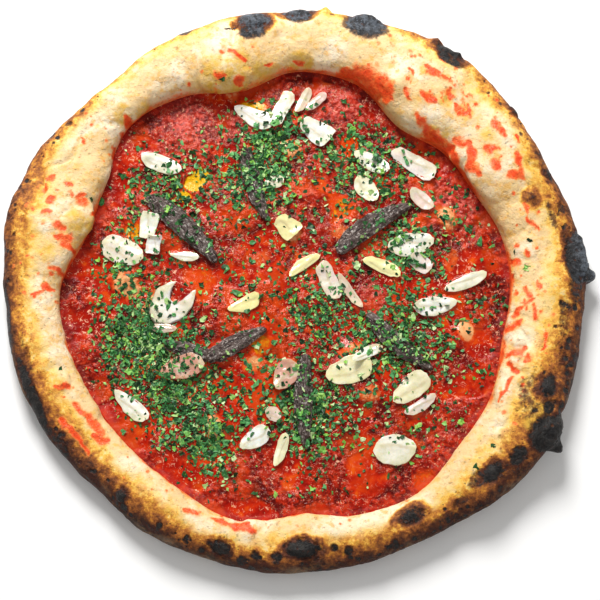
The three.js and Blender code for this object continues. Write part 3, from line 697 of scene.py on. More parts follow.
def makeCrustMaterial():
    material, tree, shader = newMaterial("bakedCrust")
    bake, char, stain, thin, under, ashen = (
        mark(tree, name) for name in ("bake", "char", "stain", "thin", "under", "ashen")
    )
    cloud = noiseNode(tree, 24, 4)
    mottle = noiseNode(tree, 5, 5, 0.62)
    fleck = noiseNode(tree, 1.5, 5, 0.7)
    shade = mathNode(tree, "MULTIPLY_ADD", mottle, 1.1, -0.55)
    shade = mathNode(tree, "MULTIPLY_ADD", fleck, 0.55, mathNode(tree, "SUBTRACT", shade, 0.28))
    shade = mathNode(tree, "MULTIPLY", shade, stepNode(tree, bake, 0.02, 0.35, (0.12, 1)))
    paint = rampNode(
        tree,
        mathNode(tree, "ADD", bake, shade),
        [(0.0, "eacb98"), (0.1, "f0d08a"), (0.19, "f0c058"), (0.3, "d4943a"),
         (0.44, "a8682e"), (0.6, "6e3e20"), (0.8, "40231a"), (1.0, "271813")],
    )
    raw = stepNode(tree, bake, 0.3, 0.05)
    pale = mathNode(tree, "MULTIPLY", stepNode(tree, cloud, 0.46, 0.62), raw)
    paint = mixColour(tree, mathNode(tree, "MULTIPLY", pale, 0.7), paint, colour("f6ead2"))
    golden = mathNode(tree, "MULTIPLY", stepNode(tree, mottle, 0.5, 0.66), raw)
    paint = mixColour(tree, mathNode(tree, "MULTIPLY", golden, 0.7), paint, colour("e8b35c"))
    scorched = mathNode(tree, "MULTIPLY", stepNode(tree, fleck, 0.6, 0.72), stepNode(tree, mottle, 0.45, 0.6))
    scorched = mathNode(tree, "MULTIPLY", scorched, mathNode(tree, "MAXIMUM", thin, stepNode(tree, bake, 0.1, 0.4, (0.3, 1))))
    paint = mixColour(tree, mathNode(tree, "MULTIPLY", scorched, 0.75), paint, colour("96602a"))
    dusty = mathNode(tree, "MULTIPLY", stepNode(tree, cloud, 0.5, 0.64), stepNode(tree, bake, 0.62, 0.9))
    paint = mixColour(tree, mathNode(tree, "MULTIPLY", dusty, 0.6), paint, colour("8f7a62"))
    tiny = useGroup(tree, specks, Spacing=430.0, Reach=0.24, Share=0.3)
    tiny = mathNode(tree, "MULTIPLY", tiny, stepNode(tree, bake, 0.05, 0.4, (0.3, 0.85)))
    paint = mixColour(tree, tiny, paint, colour("64391b"))
    sheer = mathNode(tree, "MULTIPLY", thin, stepNode(tree, mottle, 0.35, 0.6, (0.25, 0.8)))
    paint = mixColour(tree, sheer, paint, colour("dfb54a"))
    drop = useGroup(tree, raggedEdge, Mark=stain, Grain=500.0, Ragged=0.5, Cut=0.3, Softness=0.4)
    film = useGroup(tree, raggedEdge, Mark=stain, Grain=620.0, Ragged=0.8, Cut=0.52, Softness=0.4)
    thick = useGroup(tree, raggedEdge, Mark=stain, Grain=300.0, Ragged=1.3, Cut=0.9, Softness=0.4)
    paint = mixColour(tree, mathNode(tree, "MULTIPLY", drop, 0.6), paint, colour("f6a858"))
    paint = mixColour(tree, mathNode(tree, "MULTIPLY", film, 0.85), paint, colour("fb6529"))
    paint = mixColour(tree, mathNode(tree, "MULTIPLY", thick, 0.6), paint, colour("ec3812"))
    singed = useGroup(tree, raggedEdge, Mark=char, Grain=330.0, Ragged=0.8, Cut=0.36, Softness=0.28)
    burnt = useGroup(tree, raggedEdge, Mark=char, Grain=360.0, Ragged=0.9, Cut=0.68, Softness=0.2)
    paint = mixColour(tree, mathNode(tree, "MULTIPLY", singed, 0.85), paint, colour("4d2419"))
    grey = mixColour(tree, ashen, colour("3c3936"), colour("7a828c"))
    ash = mixColour(tree, stepNode(tree, mottle, 0.4, 0.66, (0.1, 0.75)), colour("120f10"), grey)
    ash = mixColour(tree, stepNode(tree, fleck, 0.52, 0.64, (0, 0.9)), ash, grey)
    ash = mixColour(tree, stepNode(tree, fleck, 0.46, 0.36, (0, 0.8)), ash, colour("120d0c"))
    paint = mixColour(tree, burnt, paint, ash)
    leopard = noiseNode(tree, 11, 4, 0.62, distortion=0.5)
    bottom = mixColour(tree, stepNode(tree, cloud, 0.4, 0.6), colour("b98446"), colour("dcb883"))
    bottom = mixColour(tree, stepNode(tree, mottle, 0.52, 0.68, (0, 0.7)), bottom, colour("ecdcbc"))
    bottom = mixColour(tree, stepNode(tree, leopard, 0.54, 0.62, (0, 0.85)), bottom, colour("6b4022"))
    bottom = mixColour(tree, stepNode(tree, leopard, 0.6, 0.68, (0, 0.9)), bottom, colour("2a1912"))
    paint = mixColour(tree, under, paint, bottom)
    rough = mathNode(tree, "MULTIPLY_ADD", mathNode(tree, "MAXIMUM", film, thick), -0.34, 0.62)
    rough = mathNode(tree, "MULTIPLY_ADD", burnt, -0.2, rough)
    height = useGroup(tree, grain, Coarse=420.0, Fine=1700.0, Fine_Share=0.5)
    pits = useGroup(tree, specks, Spacing=300.0, Reach=0.2, Share=0.3)
    height = mathNode(tree, "MULTIPLY_ADD", pits, -0.5, height)
    height = mathNode(tree, "MULTIPLY_ADD", thick, 0.35, height)
    height = mathNode(tree, "MULTIPLY_ADD", singed, mathNode(tree, "MULTIPLY", mottle, 1.2), height)
    height = mathNode(tree, "MULTIPLY_ADD", burnt, mathNode(tree, "MULTIPLY", fleck, 1.2), height)
    feed(tree, shader, Base_Color=paint, Roughness=rough, Normal=bumpNode(tree, height, 0.7, 0.9))
    feed(tree, shader, Subsurface_Weight=0.1, Subsurface_Radius=(0.9, 0.5, 0.25), Subsurface_Scale=0.002)
    feed(tree, shader, IOR=1.42)
    return material


crustPiece = makeDough()
dress(crustPiece, makeCrustMaterial(), "dough", "dough")
print("dough shaped:", len(crustPiece.data.polygons), "faces")

# ---- sauce ----

sauce = {
    "level": 6.5,
    "rings": 168,
    "tuck": 0.7,  # how far the edge runs into the rim
    "sink": -0.15,  # garlic and anchovy lie this deep in it
    "underside": 3.95,
    "swells": [(71, 20, 0.4, 0.45), (53, 100, 2.1, 0.4), (34, 155, 4.0, 0.35), (27, 65, 1.2, 0.3)],
    "bubbles": [  # x, y, radius, rise
        (-95, 5, 11, 3.2), (-44, -75, 10, 3.4), (83, 42, 9, 3), (88, -24, 8, 3), (-6, 81, 8, 2.6),
        (-78, -43, 6, 2), (-86, -9, 8, 2.2), (24, 35, 9, 2), (37, -58, 9, 2.4), (28, -33, 9, 1.8),
        (-21, -30, 9, 2.4), (-3, -36, 7, 1.8), (-13, -34, 6, -1.6), (-62, 64, 7, -1),
    ],
    "falloff": 1.6,
    "bready": [  # x, y, half length, half width, heading, how much dough shows
        (-93, 4, 11, 8, -50, 0.9), (-80, -8, 14, 4, 62, 0.75), (-44, -76, 10, 6, -65, 0.95), (82, 42, 9, 6, -62, 0.9),
        (90, -22, 8, 5, -75, 1), (-6, 84, 9, 6, -30, 0.9), (-77, -44, 7, 5, 10, 0.7), (24, 34, 8, 5, 0, 0.6),
        (38, -57, 8, 6, 20, 0.7), (30, -33, 9, 5, 20, 0.7), (-24, -40, 7, 5, 40, 0.8), (-3, -42, 6, 5, 60, 0.85),
        (-38, 118, 9, 5, -70, 0.7), (-62, 18, 7, 3, 0, 0.6), (14, 60, 6, 4, 0, 0.4), (62, -84, 7, 4, 0, 0.35),
        (-4, 33, 7, 6, 0, 0.8), (-20, 20, 8, 4, 30, 0.4), (84, 18, 8, 4, 70, 0.5),
    ],
    "oil": [  # x, y, radius, strength
        (-62, 55, 6, 1.4), (-58, 61, 7.5, 1.4), (-54, 67, 6, 1.4), (-30, 108, 6, 1), (-98, 28, 6, 1), (-92, 34, 9, 0.85), (-20, -30, 8, 0.85), (-24, 104, 10, 0.95), (-88, 90, 8, 0.45),
        (66, -104, 9, 0.72), (-34, 44, 14, 0.55), (24, 48, 11, 0.8), (-52, 4, 13, 0.7), (40, -10, 14, 0.4),
        (-74, -14, 9, 0.7), (58, -70, 12, 0.4), (0, 60, 10, 0.5), (30, 84, 10, 0.6), (66, 40, 8, 0.6),
        (-12, -10, 12, 0.5), (84, -6, 10, 0.6), (-104, -54, 8, 0.5), (40, 24, 9, 0.5),
    ],
    "smooth": [  # x, y, radius: spots with hardly any pulp
        (-58, 4, 14), (54, 2, 14), (98, -30, 12), (96, 12, 12), (-106, -20, 12), (-20, 92, 9), (24, 96, 7),
        (-52, -98, 12), (0, -100, 14), (40, -104, 12), (96, 62, 9), (-112, -60, 8),
    ],
    "lumps": {"count": 1500, "size": (1.1, 3.4), "rise": (0.25, 1.05), "seed": 33},
    "relief": [(9, 0.45, 50), (5, 0.34, 51), (2.4, 0.3, 52), (1.2, 0.12, 53)],
    "foam": [(22, 106, 17), (-62, 98, 22), (-30, 96, 12), (84, 50, 16), (40, -4, 10)],
}


def sauceHeight(points):
    x, y = points[:, 0], points[:, 1]
    height = np.full(len(points), float(sauce["level"]))
    for length, heading, phase, rise in sauce["swells"]:
        along = x * math.cos(math.radians(heading)) + y * math.sin(math.radians(heading))
        height += rise * np.sin(2 * np.pi * along / length + phase)
    for bx, by, radius, rise in sauce["bubbles"]:
        height += rise * np.exp(-sauce["falloff"] * ((x - bx) ** 2 + (y - by) ** 2) / radius**2)
    return height


def sauceDisc():
    # rings of points, six more in each ring than in the one inside it
    rings = sauce["rings"]
    points, first = [np.zeros((1, 2))], [0]
    total = 1
    for k in range(1, rings + 1):
        first.append(total)
        at = 60 * np.arange(6 * k) / k
        radius = (around(dough["inner"], at) + sauce["tuck"]) * k / rings
        points.append(np.stack(polar(at, radius), -1))
        total += 6 * k
    triangles = []
    for k in range(1, rings + 1):
        i = np.arange(6 * k)
        side = i // k
        outer, ahead = first[k] + i, first[k] + (i + 1) % (6 * k)
        inner = np.zeros_like(i) if k == 1 else first[k - 1] + (i - side) % (6 * (k - 1))
        triangles.append(np.stack([outer, ahead, inner], 1))
        keep = i % k > 0
        if k > 1:
            triangles.append(np.stack([outer, inner, first[k - 1] + i - side - 1], 1)[keep])
    return np.concatenate(points), np.concatenate(triangles), first[rings]


def smoothOver(values, triangles, rounds):
    # spreads values to their neighbours over the mesh
    a, b, c = triangles.T
    start, end = np.concatenate([a, b, c]), np.concatenate([b, c, a])
    count = np.bincount(start, minlength=len(values)) + 1
    for _ in range(rounds):
        values = (values + np.bincount(start, values[end], minlength=len(values))) / count
    return values


def toppingTree():
    # the garlic and anchovy solids, in millimetres round the rim's centre
    corners, faces = [], []
    for name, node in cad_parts.items():
        if name.startswith(("garlic", "anchovy")):
            offset = len(corners)
            corners += [tuple(np.array(v.co) / mm - (*rimCentre, 0)) for v in node.data.vertices]
            faces += [tuple(offset + k for k in p.vertices) for p in node.data.polygons]
    return BVHTree.FromPolygons(corners, faces)


def makeSauce(toppings):
    plan, triangles, rim = sauceDisc()
    points = np.column_stack([plan, np.zeros(len(plan))])
    radius = np.hypot(*plan.T)
    at = np.degrees(np.arctan2(plan[:, 1], plan[:, 0])) % 360
    fromEdge = around(dough["inner"], at) - radius
    height = sauceHeight(points)
    oil = np.zeros(len(points))
    for x, y, size, strength in sauce["oil"]:
        away = np.hypot(points[:, 0] - x, points[:, 1] - y) / size
        oil = np.maximum(oil, strength * smoothStep(1.15, 0.35, away + 0.45 * roughNoise(points, 9, 3, 61)))
    bready = np.zeros(len(points))
    for x, y, length, width, heading, shown in sauce["bready"]:
        along = np.array(polar(heading, 1))
        inside = ellipseMark(points, np.array([x, y]), along, (length, width)) + 0.3 * roughNoise(points, 6, 3, 62)
        bready = np.maximum(bready, shown * smoothStep(-0.25, 0.5, inside))
    foam = np.zeros(len(points))
    for x, y, size in sauce["foam"]:
        away = np.hypot(points[:, 0] - x, points[:, 1] - y) / size
        foam = np.maximum(foam, smoothStep(1.2, 0.3, away + 0.5 * roughNoise(points, 8, 3, 65)))
    pulp = smoothStep(-0.3, 0.1, roughNoise(points, 17, 3, 63))
    for x, y, size in sauce["smooth"]:
        away = np.hypot(points[:, 0] - x, points[:, 1] - y) / size
        pulp *= 1 - 0.85 * smoothStep(1.1, 0.4, away + 0.3 * roughNoise(points, 6, 3, 64))
    pulp *= 1 - 0.8 * np.maximum(smoothStep(0.3, 0.8, oil), 0.6 * bready)
    pulp = np.maximum(np.maximum(pulp, foam), 0.12)
    draw = makeDraw(sauce["lumps"]["seed"])
    reach = np.zeros(len(points))
    for _ in range(sauce["lumps"]["count"]):
        x, y = polar(360 * draw(), 125 * math.sqrt(draw()))
        size, rise = lerp(*sauce["lumps"]["size"], draw() ** 1.5), lerp(*sauce["lumps"]["rise"], draw())
        near = (np.abs(points[:, 0] - x) < 2.2 * size) & (np.abs(points[:, 1] - y) < 2.2 * size)
        close = points[near]
        away = ((close[:, 0] - x) ** 2 + (close[:, 1] - y) ** 2) / size**2
        reach[near] = np.maximum(reach[near], rise * np.exp(-1.8 * away))
    relief = sum(rise * valueNoise(points, size, seed) for size, rise, seed in sauce["relief"])
    height += pulp * (relief + reach) * smoothStep(-1, 3, fromEdge)
    height += 0.7 * smoothStep(3.2, 0, fromEdge)
    lift, covered = np.zeros(len(points)), np.zeros(len(points), bool)
    for k, (x, y) in enumerate(plan):
        hit = toppings.ray_cast(Vector((x, y, 0)), Vector((0, 0, 1)))[0]
        if hit is not None:
            lift[k] = min(3.2, hit.z + sauce["sink"] - height[k])
            covered[k] = True
    spread = np.maximum(lift, smoothOver(np.maximum(lift, 0), triangles, 5))
    height += np.where(covered, lift, 0.85 * spread)
    points[:, 2] = height
    edge = np.arange(rim, len(points))
    foot = points[edge].copy()
    foot[:, 2] = sauce["underside"]
    start = len(points)
    points = np.concatenate([points, foot, [[0, 0, sauce["underside"]]]])
    n = len(edge)
    i = np.arange(n)
    j = (i + 1) % n
    wall = np.stack([edge[i], start + i, start + j, edge[j]], 1)
    floor = np.stack([start + i, np.full(n, start + n), start + j], 1)
    extra = n + 1
    marks = {
        "oil": np.append(oil, np.zeros(extra)),
        "foam": np.append(foam, np.zeros(extra)),
        "bready": np.append(bready, np.zeros(extra)),
        # edge: 1 at the rim, where the material paints shade and makes the sauce rougher
        "edge": np.append(smoothStep(7, 0, fromEdge), np.ones(extra)),
        "pulp": np.append(pulp, np.zeros(extra)),
        # raised: how high the pulp's relief stands; the material paints shade in its low hollows
        "raised": np.append(smoothStep(-0.35, 0.75, relief + reach), np.zeros(extra)),
    }
    return makePiece("tomatoSauce", points, [triangles, wall, floor], marks)


def makeSauceMaterial():
    material, tree, shader = newMaterial("crushedTomato")
    oil, bready, edge, pulp, raised = (mark(tree, name) for name in ("oil", "bready", "edge", "pulp", "raised"))
    foam = mark(tree, "foam")
    broad = noiseNode(tree, 26, 3, 0.5)
    patch = noiseNode(tree, 8, 4, 0.6, distortion=0.4)
    fine = noiseNode(tree, 2.3, 3, 0.6)
    runny = rampNode(tree, patch, [(0.3, "800e02"), (0.44, "a81c04"), (0.56, "c43208"), (0.68, "d85c12")])
    mash = rampNode(tree, patch, [(0.3, "741004"), (0.44, "9e2008"), (0.58, "be3410"), (0.72, "d45022")])
    # painted shade: the low hollows between the pulp's lumps are painted dark red
    mash = mixColour(tree, stepNode(tree, raised, 0.42, 0.02, (0, 0.85)), mash, colour("520301"))
    mash = mixColour(tree, stepNode(tree, fine, 0.54, 0.7, (0, 0.75)), mash, colour("e6502c"))
    mash = mixColour(tree, stepNode(tree, fine, 0.46, 0.34, (0, 0.8)), mash, colour("5a0402"))
    paint = mixColour(tree, stepNode(tree, pulp, 0.2, 0.6), runny, mash)
    paint = mixColour(tree, stepNode(tree, broad, 0.47, 0.35, (0, 0.7)), paint, colour("cc4a0c"))
    paint = mixColour(tree, stepNode(tree, broad, 0.54, 0.64, (0, 0.55)), paint, colour("8a0e05"))
    frothy = mathNode(tree, "MULTIPLY", foam, stepNode(tree, fine, 0.44, 0.62, (0.15, 0.75)))
    paint = mixColour(tree, frothy, paint, colour("dc6458"))
    # painted highlights: pale squiggles and specks stand in for glints of light on the wet pulp, and lift its bump a
    # little
    paintedWisp = noiseNode(tree, 3.4, 2, 0.5, distortion=0.8)
    paintedWisp = mathNode(tree, "ABSOLUTE", mathNode(tree, "SUBTRACT", paintedWisp, 0.5))
    paintedWisp = mathNode(tree, "MULTIPLY", stepNode(tree, paintedWisp, 0.036, 0.01), stepNode(tree, fine, 0.48, 0.56))
    paintedWisp = mathNode(tree, "MULTIPLY", paintedWisp, stepNode(tree, broad, 0.42, 0.56, (0.15, 1)))
    paintedGlint = useGroup(tree, specks, Spacing=480.0, Reach=0.24, Share=0.09)
    paintedGlint = mathNode(tree, "MAXIMUM", mathNode(tree, "MULTIPLY", paintedGlint, stepNode(tree, pulp, 0.1, 0.6)), paintedWisp)
    paint = mixColour(tree, mathNode(tree, "MULTIPLY", paintedGlint, 0.85), paint, colour("f8c0a0"))
    seeds = useGroup(tree, specks, Spacing=230.0, Reach=0.14, Share=0.2)
    paint = mixColour(tree, mathNode(tree, "MULTIPLY", seeds, 0.7), paint, colour("e9b67c"))
    pool = useGroup(tree, raggedEdge, Mark=oil, Grain=260.0, Ragged=0.5, Cut=0.45, Softness=0.3)
    gold = useGroup(tree, raggedEdge, Mark=oil, Grain=320.0, Ragged=0.35, Cut=0.86, Softness=0.16)
    paint = mixColour(tree, mathNode(tree, "MULTIPLY", pool, 0.8), paint, colour("d84e04"))
    paint = mixColour(tree, mathNode(tree, "MULTIPLY", gold, 0.9), paint, colour("e2b414"))
    crumb = useGroup(tree, raggedEdge, Mark=bready, Grain=300.0, Ragged=0.5, Cut=0.42, Softness=0.3)
    crumbTop = useGroup(tree, raggedEdge, Mark=bready, Grain=420.0, Ragged=0.6, Cut=0.76, Softness=0.22)
    paint = mixColour(tree, mathNode(tree, "MULTIPLY", crumb, 0.85), paint, colour("e0682a"))
    paint = mixColour(tree, mathNode(tree, "MULTIPLY", crumbTop, 0.8), paint, colour("eebb84"))
    # painted shade: the sauce is painted darker towards the rim, where the rim shades it; the same mark makes it
    # rougher there
    paint = mixColour(tree, mathNode(tree, "MULTIPLY", edge, 0.25), paint, colour("a01a08"))
    rough = mathNode(tree, "MULTIPLY_ADD", edge, 0.4, stepNode(tree, fine, 0.3, 0.75, (0.12, 0.32)))
    height = useGroup(tree, grain, Coarse=420.0, Fine=1300.0, Fine_Share=0.25)
    height = mathNode(tree, "MULTIPLY_ADD", paintedGlint, 0.5, height)
    height = mathNode(tree, "MULTIPLY", height, stepNode(tree, pulp, 0.0, 0.6, (0.15, 1)))
    feed(tree, shader, Base_Color=paint, Roughness=rough, Normal=bumpNode(tree, height, 1.1, 0.9))
    feed(tree, shader, IOR=1.34)
    return material


saucePiece = makeSauce(toppingTree())
dress(saucePiece, makeSauceMaterial(), "sauce", "sauce")
print("sauce shaped:", len(saucePiece.data.polygons), "faces")

# ---- garlic and anchovy ----

strips = {
    "levels": 3,
    "rounds": 2,  # of smoothing
    "square": {3: 0.6, 6: 0.35, 10: 0.6, 12: 0.45, 13: 0.45, 14: 0.3, 19: 0.6, 22: 0.4, 25: 0.3, 28: 0.5, 31: 0.3},
    "taper": {1: -0.12, 2: 0.3, 6: 0.3, 10: 0.1, 14: -0.2, 17: 0.2, 19: 0.25, 21: 0.2, 27: -0.2, 29: -0.25, 31: 0.2,
              33: 0.3, 34: 0.2, 37: -0.12, 38: 0.25},
    "blunter": {15: 1.7},  # millimetres that the outline swells away from the middle
    "reshape": {15: (50, 1.24, 0.7, 0.42)},  # heading, stretch along it and across it, and how far its arms close
    "thinner": 0.62,  # slices against their solids
    "fuller": 1.28,  # fillets against their solids, across
    "sheer": {4: 0.5, 5: 0.6, 10: 0.3, 11: 0.5, 14: 0.25, 15: 0.2, 16: 0.9, 17: 1, 22: 0.5, 23: 0.6, 28: 0.4, 32: 0.4, 36: 0.5, 37: 0.1, 38: 0.95},
    "buttery": {7: 0.4, 8: 0.3, 19: 0.9, 20: 0.9, 21: 1, 24: 0.9, 25: 0.6, 31: 0.5, 35: 0.5},
    "seed": 17,
}


def smoothSolid(name, node):
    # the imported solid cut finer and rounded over
    shape = bmesh.new()
    shape.from_mesh(node.data)
    bmesh.ops.remove_doubles(shape, verts=shape.verts, dist=1e-6)
    bmesh.ops.join_triangles(
        shape, faces=shape.faces, angle_face_threshold=math.radians(70), angle_shape_threshold=math.radians(90)
    )
    mesh = bpy.data.meshes.new(name)
    shape.to_mesh(mesh)
    shape.free()
    piece = bpy.data.objects.new(name, mesh)
    bpy.context.scene.collection.objects.link(piece)
    finer = piece.modifiers.new("finer", "SUBSURF")
    finer.subdivision_type = "SIMPLE"
    finer.levels = finer.render_levels = strips["levels"]
    bpy.context.view_layer.update()
    done = bpy.data.meshes.new_from_object(piece.evaluated_get(bpy.context.evaluated_depsgraph_get()))
    piece.modifiers.clear()
    piece.data = done
    bpy.data.meshes.remove(mesh)
    done.name = name
    done.polygons.foreach_set("use_smooth", np.ones(len(done.polygons), bool))
    edges = np.zeros(len(done.edges) * 2, np.int32)
    done.edges.foreach_get("vertices", edges)
    a, b = edges.reshape(-1, 2).T
    points = meshPoints(done)
    count = np.bincount(np.append(a, b), minlength=len(points)) + 1
    for _ in range(strips["rounds"]):
        for axis in range(3):
            values = points[:, axis]
            near = np.bincount(a, values[b], len(points)) + np.bincount(b, values[a], len(points))
            points[:, axis] = (values + near) / count
    setPoints(done, fitBack(points, node))
    return piece


def meshPoints(mesh):
    points = np.zeros(len(mesh.vertices) * 3, np.float32)
    mesh.vertices.foreach_get("co", points)
    return points.reshape(-1, 3).astype(float) / mm


def meshNormals(mesh):
    normals = np.zeros(len(mesh.vertices) * 3, np.float32)
    mesh.vertices.foreach_get("normal", normals)
    return normals.reshape(-1, 3)


def setPoints(mesh, points):
    mesh.vertices.foreach_set("co", (points * mm).astype(np.float32).ravel())
    mesh.update()


def mainAxes(points):
    # middle, direction along and across, seen from above
    middle = (points.min(0) + points.max(0)) / 2
    flat = points[:, :2] - points[:, :2].mean(0)
    _, _, rows = np.linalg.svd(flat, full_matrices=False)
    rows[0] *= np.sign(rows[0] @ (1, 0.3))  # points to the right
    along = np.array([*rows[0], 0])
    across = np.array([-rows[0][1], rows[0][0], 0])
    return middle, along, across


def fitBack(points, node):
    # rounding shrinks a shape, so it goes back to the solid's length, width and height
    solid = meshPoints(node.data)
    _, along, across = mainAxes(solid)
    turned = np.stack([along, across, [0, 0, 1]])
    solid, points = solid @ turned.T, points @ turned.T
    low, high = solid.min(0), solid.max(0)
    points = low + (points - points.min(0)) / (points.max(0) - points.min(0)) * (high - low)
    return points @ turned


def thinDown(points, node, share):
    # brings the top of a slice down towards its underside
    solid = meshPoints(node.data)
    tree = BVHTree.FromPolygons(solid.tolist(), [tuple(p.vertices) for p in node.data.polygons])
    middle = (solid.min(0) + solid.max(0)) / 2
    inner = middle + (points - middle) * 0.96
    for k, (x, y, _) in enumerate(inner):
        hit = tree.ray_cast(Vector((x, y, 0)), Vector((0, 0, 1)))[0]
        if hit is not None:
            points[k, 2] = lerp(hit.z, points[k, 2], share)
    return points


def makeGarlicMaterial():
    material, tree, shader = newMaterial("garlicFlesh")
    core, germ, sheer, butter, low = (mark(tree, name) for name in ("core", "germ", "sheer", "butter", "low"))
    cloud = noiseNode(tree, 6, 4)
    paint = mixColour(tree, core, colour("e6e2c4"), colour("e6e6dc"))
    paint = mixColour(tree, stepNode(tree, cloud, 0.48, 0.64, (0, 0.7)), paint, colour("fbfbf6"))
    paint = mixColour(tree, stepNode(tree, cloud, 0.47, 0.32, (0, 0.55)), paint, colour("bfc0a2"))
    paint = mixColour(tree, mathNode(tree, "MULTIPLY", butter, 0.8), paint, colour("ece08e"))
    thin = mathNode(tree, "MULTIPLY", sheer, stepNode(tree, cloud, 0.4, 0.56, (0.35, 0.8)))
    paint = mixColour(tree, thin, paint, colour("c4735c"))
    paint = mixColour(tree, mathNode(tree, "MULTIPLY", germ, 0.5), paint, colour("bfae80"))
    stained = useGroup(tree, raggedEdge, Mark=low, Grain=420.0, Ragged=0.7, Cut=0.62, Softness=0.25)
    paint = mixColour(tree, mathNode(tree, "MULTIPLY", stained, 0.35), paint, colour("dc8a66"))
    height = useGroup(tree, grain, Coarse=500.0, Fine=1800.0, Fine_Share=0.3)
    feed(tree, shader, Base_Color=paint, Normal=bumpNode(tree, height, 0.3, 0.6))
    feed(tree, shader, Roughness=0.26, IOR=1.42, Coat_Weight=0.5, Coat_Roughness=0.08)
    feed(tree, shader, Subsurface_Weight=0.25, Subsurface_Radius=(1.0, 0.75, 0.5), Subsurface_Scale=0.0015)
    return material


def makeGarlic():
    material = makeGarlicMaterial()
    names = sorted((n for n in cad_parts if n.startswith("garlic")), key=lambda n: int(n.split("_")[1]))
    draw = makeDraw(strips["seed"])
    for name in names:
        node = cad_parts[name]
        number = int(name.split("_")[1])
        piece = smoothSolid(f"garlicSlice_{number}", node)
        points = thinDown(meshPoints(piece.data), node, strips["thinner"])
        middle, along, across = mainAxes(points)
        delta = points - middle
        u, v = delta @ along, delta @ across
        u, v = u / np.abs(u).max(), v / np.abs(v).max()
        seed = int(1000 * draw())
        square = strips["square"].get(number, 0.2 * draw())
        corner = np.hypot(u, v) / np.maximum(1e-6, np.maximum(np.abs(u), np.abs(v)))
        scale = 1 + square * (corner - 1) * smoothStep(0.2, 0.8, np.hypot(u, v))
        wide = 1 + strips["taper"].get(number, 0.3 * (draw() - 0.5)) * u
        if number in strips["blunter"]:
            outward = meshNormals(piece.data) * (1, 1, 0) * strips["blunter"][number]
            points += outward * smoothStep(2, 9, np.hypot(*delta.T[:2]))[:, None]
            delta = points - middle
        if number in strips["reshape"]:
            heading, stretch, squeeze, closing = strips["reshape"][number]
            aside = np.array([-math.sin(math.radians(heading)), math.cos(math.radians(heading)), 0])
            ahead = np.array([aside[1], -aside[0], 0])
            squeeze = squeeze * (1 - closing * smoothStep(-4, 11, delta @ ahead))
            points += np.outer(delta @ ahead * (stretch - 1), ahead) + np.outer(delta @ aside * (squeeze - 1), aside)
        else:
            points += np.outer(delta @ along * (scale - 1), along) + np.outer(delta @ across * (scale * wide - 1), across)
        flatPoints = points * (1, 1, 0)
        wave = 0.34 * valueNoise(flatPoints, 6, seed) + 0.14 * valueNoise(flatPoints, 2.5, seed + 1)
        points[:, 2] += wave * smoothStep(1.05, 0.6, np.hypot(u, v)) + 0.25 * wave
        edging = 0.5 * valueNoise(flatPoints, 4.5, seed + 2) + 0.25 * valueNoise(flatPoints, 2, seed + 3)
        points += np.outer(edging, along) * u[:, None] + np.outer(edging, across) * v[:, None]
        points[:, 2] += 0.2 * smoothStep(0.3, 0.05, np.abs(v - 0.35 * draw())) * smoothStep(0.9, 0.5, np.abs(u))
        setPoints(piece.data, points)
        depth = (points[:, 2] - points[:, 2].min()) / max(0.1, np.ptp(points[:, 2]))
        line = np.abs(v - lerp(-0.3, 0.3, draw()) - 0.15 * np.sin(3 * u + 6 * draw()))
        addMarks(
            piece.data,
            {
                "core": smoothStep(1.0, 0.45, np.hypot(u, v)),
                "germ": smoothStep(0.16, 0.03, line) * smoothStep(0.85, 0.5, np.abs(u)),
                "sheer": strips["sheer"].get(number, 0.12 * draw()),
                "butter": strips["buttery"].get(number, 0.25 * draw()),
                "low": smoothStep(0.7, 0.0, depth) * smoothStep(0.3, 0.9, np.hypot(u, v)),
            },
        )
        dress(piece, material, "garlic", name)
    print("garlic laid:", len(names), "slices")


def makeAnchovyMaterial():
    material, tree, shader = newMaterial("anchovyFlesh")
    along, across, low, ridge = (mark(tree, name) for name in ("along", "across", "low", "ridge"))
    lines = addNode(
        tree, "ShaderNodeCombineXYZ", {0: mathNode(tree, "MULTIPLY", along, 0.22), 1: across, 2: 0.0}
    ).outputs[0]
    fibre = addNode(tree, "ShaderNodeTexNoise", {"Vector": lines, "Scale": 1.4, "Detail": 5.0, "Roughness": 0.7})
    fibre = fibre.outputs["Fac"]
    meal = noiseNode(tree, 1.3, 4, 0.65)
    cloud = noiseNode(tree, 6, 4)
    paint = mixColour(tree, stepNode(tree, fibre, 0.4, 0.6), colour("261918"), colour("6e5d56"))
    # painted highlight: the raised fibre ridges are painted lighter
    paint = mixColour(tree, stepNode(tree, ridge, 0.1, 0.7, (0, 0.45)), paint, colour("8b7c76"))
    # silvery skin, partly its real colour and partly painted glints: light-grey specks along the fibres
    silverSkinAndGlint = mathNode(tree, "MULTIPLY", stepNode(tree, meal, 0.52, 0.62), stepNode(tree, fibre, 0.4, 0.56))
    paint = mixColour(tree, mathNode(tree, "MULTIPLY", silverSkinAndGlint, 0.9), paint, colour("cfc8c0"))
    paint = mixColour(tree, stepNode(tree, cloud, 0.5, 0.34, (0, 0.75)), paint, colour("38231f"))
    paint = mixColour(tree, stepNode(tree, meal, 0.44, 0.3, (0, 0.6)), paint, colour("1f1718"))
    stained = useGroup(tree, raggedEdge, Mark=low, Grain=420.0, Ragged=0.6, Cut=0.7, Softness=0.25)
    paint = mixColour(tree, mathNode(tree, "MULTIPLY", stained, 0.6), paint, colour("8e2615"))
    height = mathNode(tree, "MULTIPLY_ADD", meal, 0.8, fibre)
    feed(tree, shader, Base_Color=paint, Normal=bumpNode(tree, height, 1.0, 0.9))
    feed(tree, shader, Roughness=0.34, IOR=1.42)
    return material


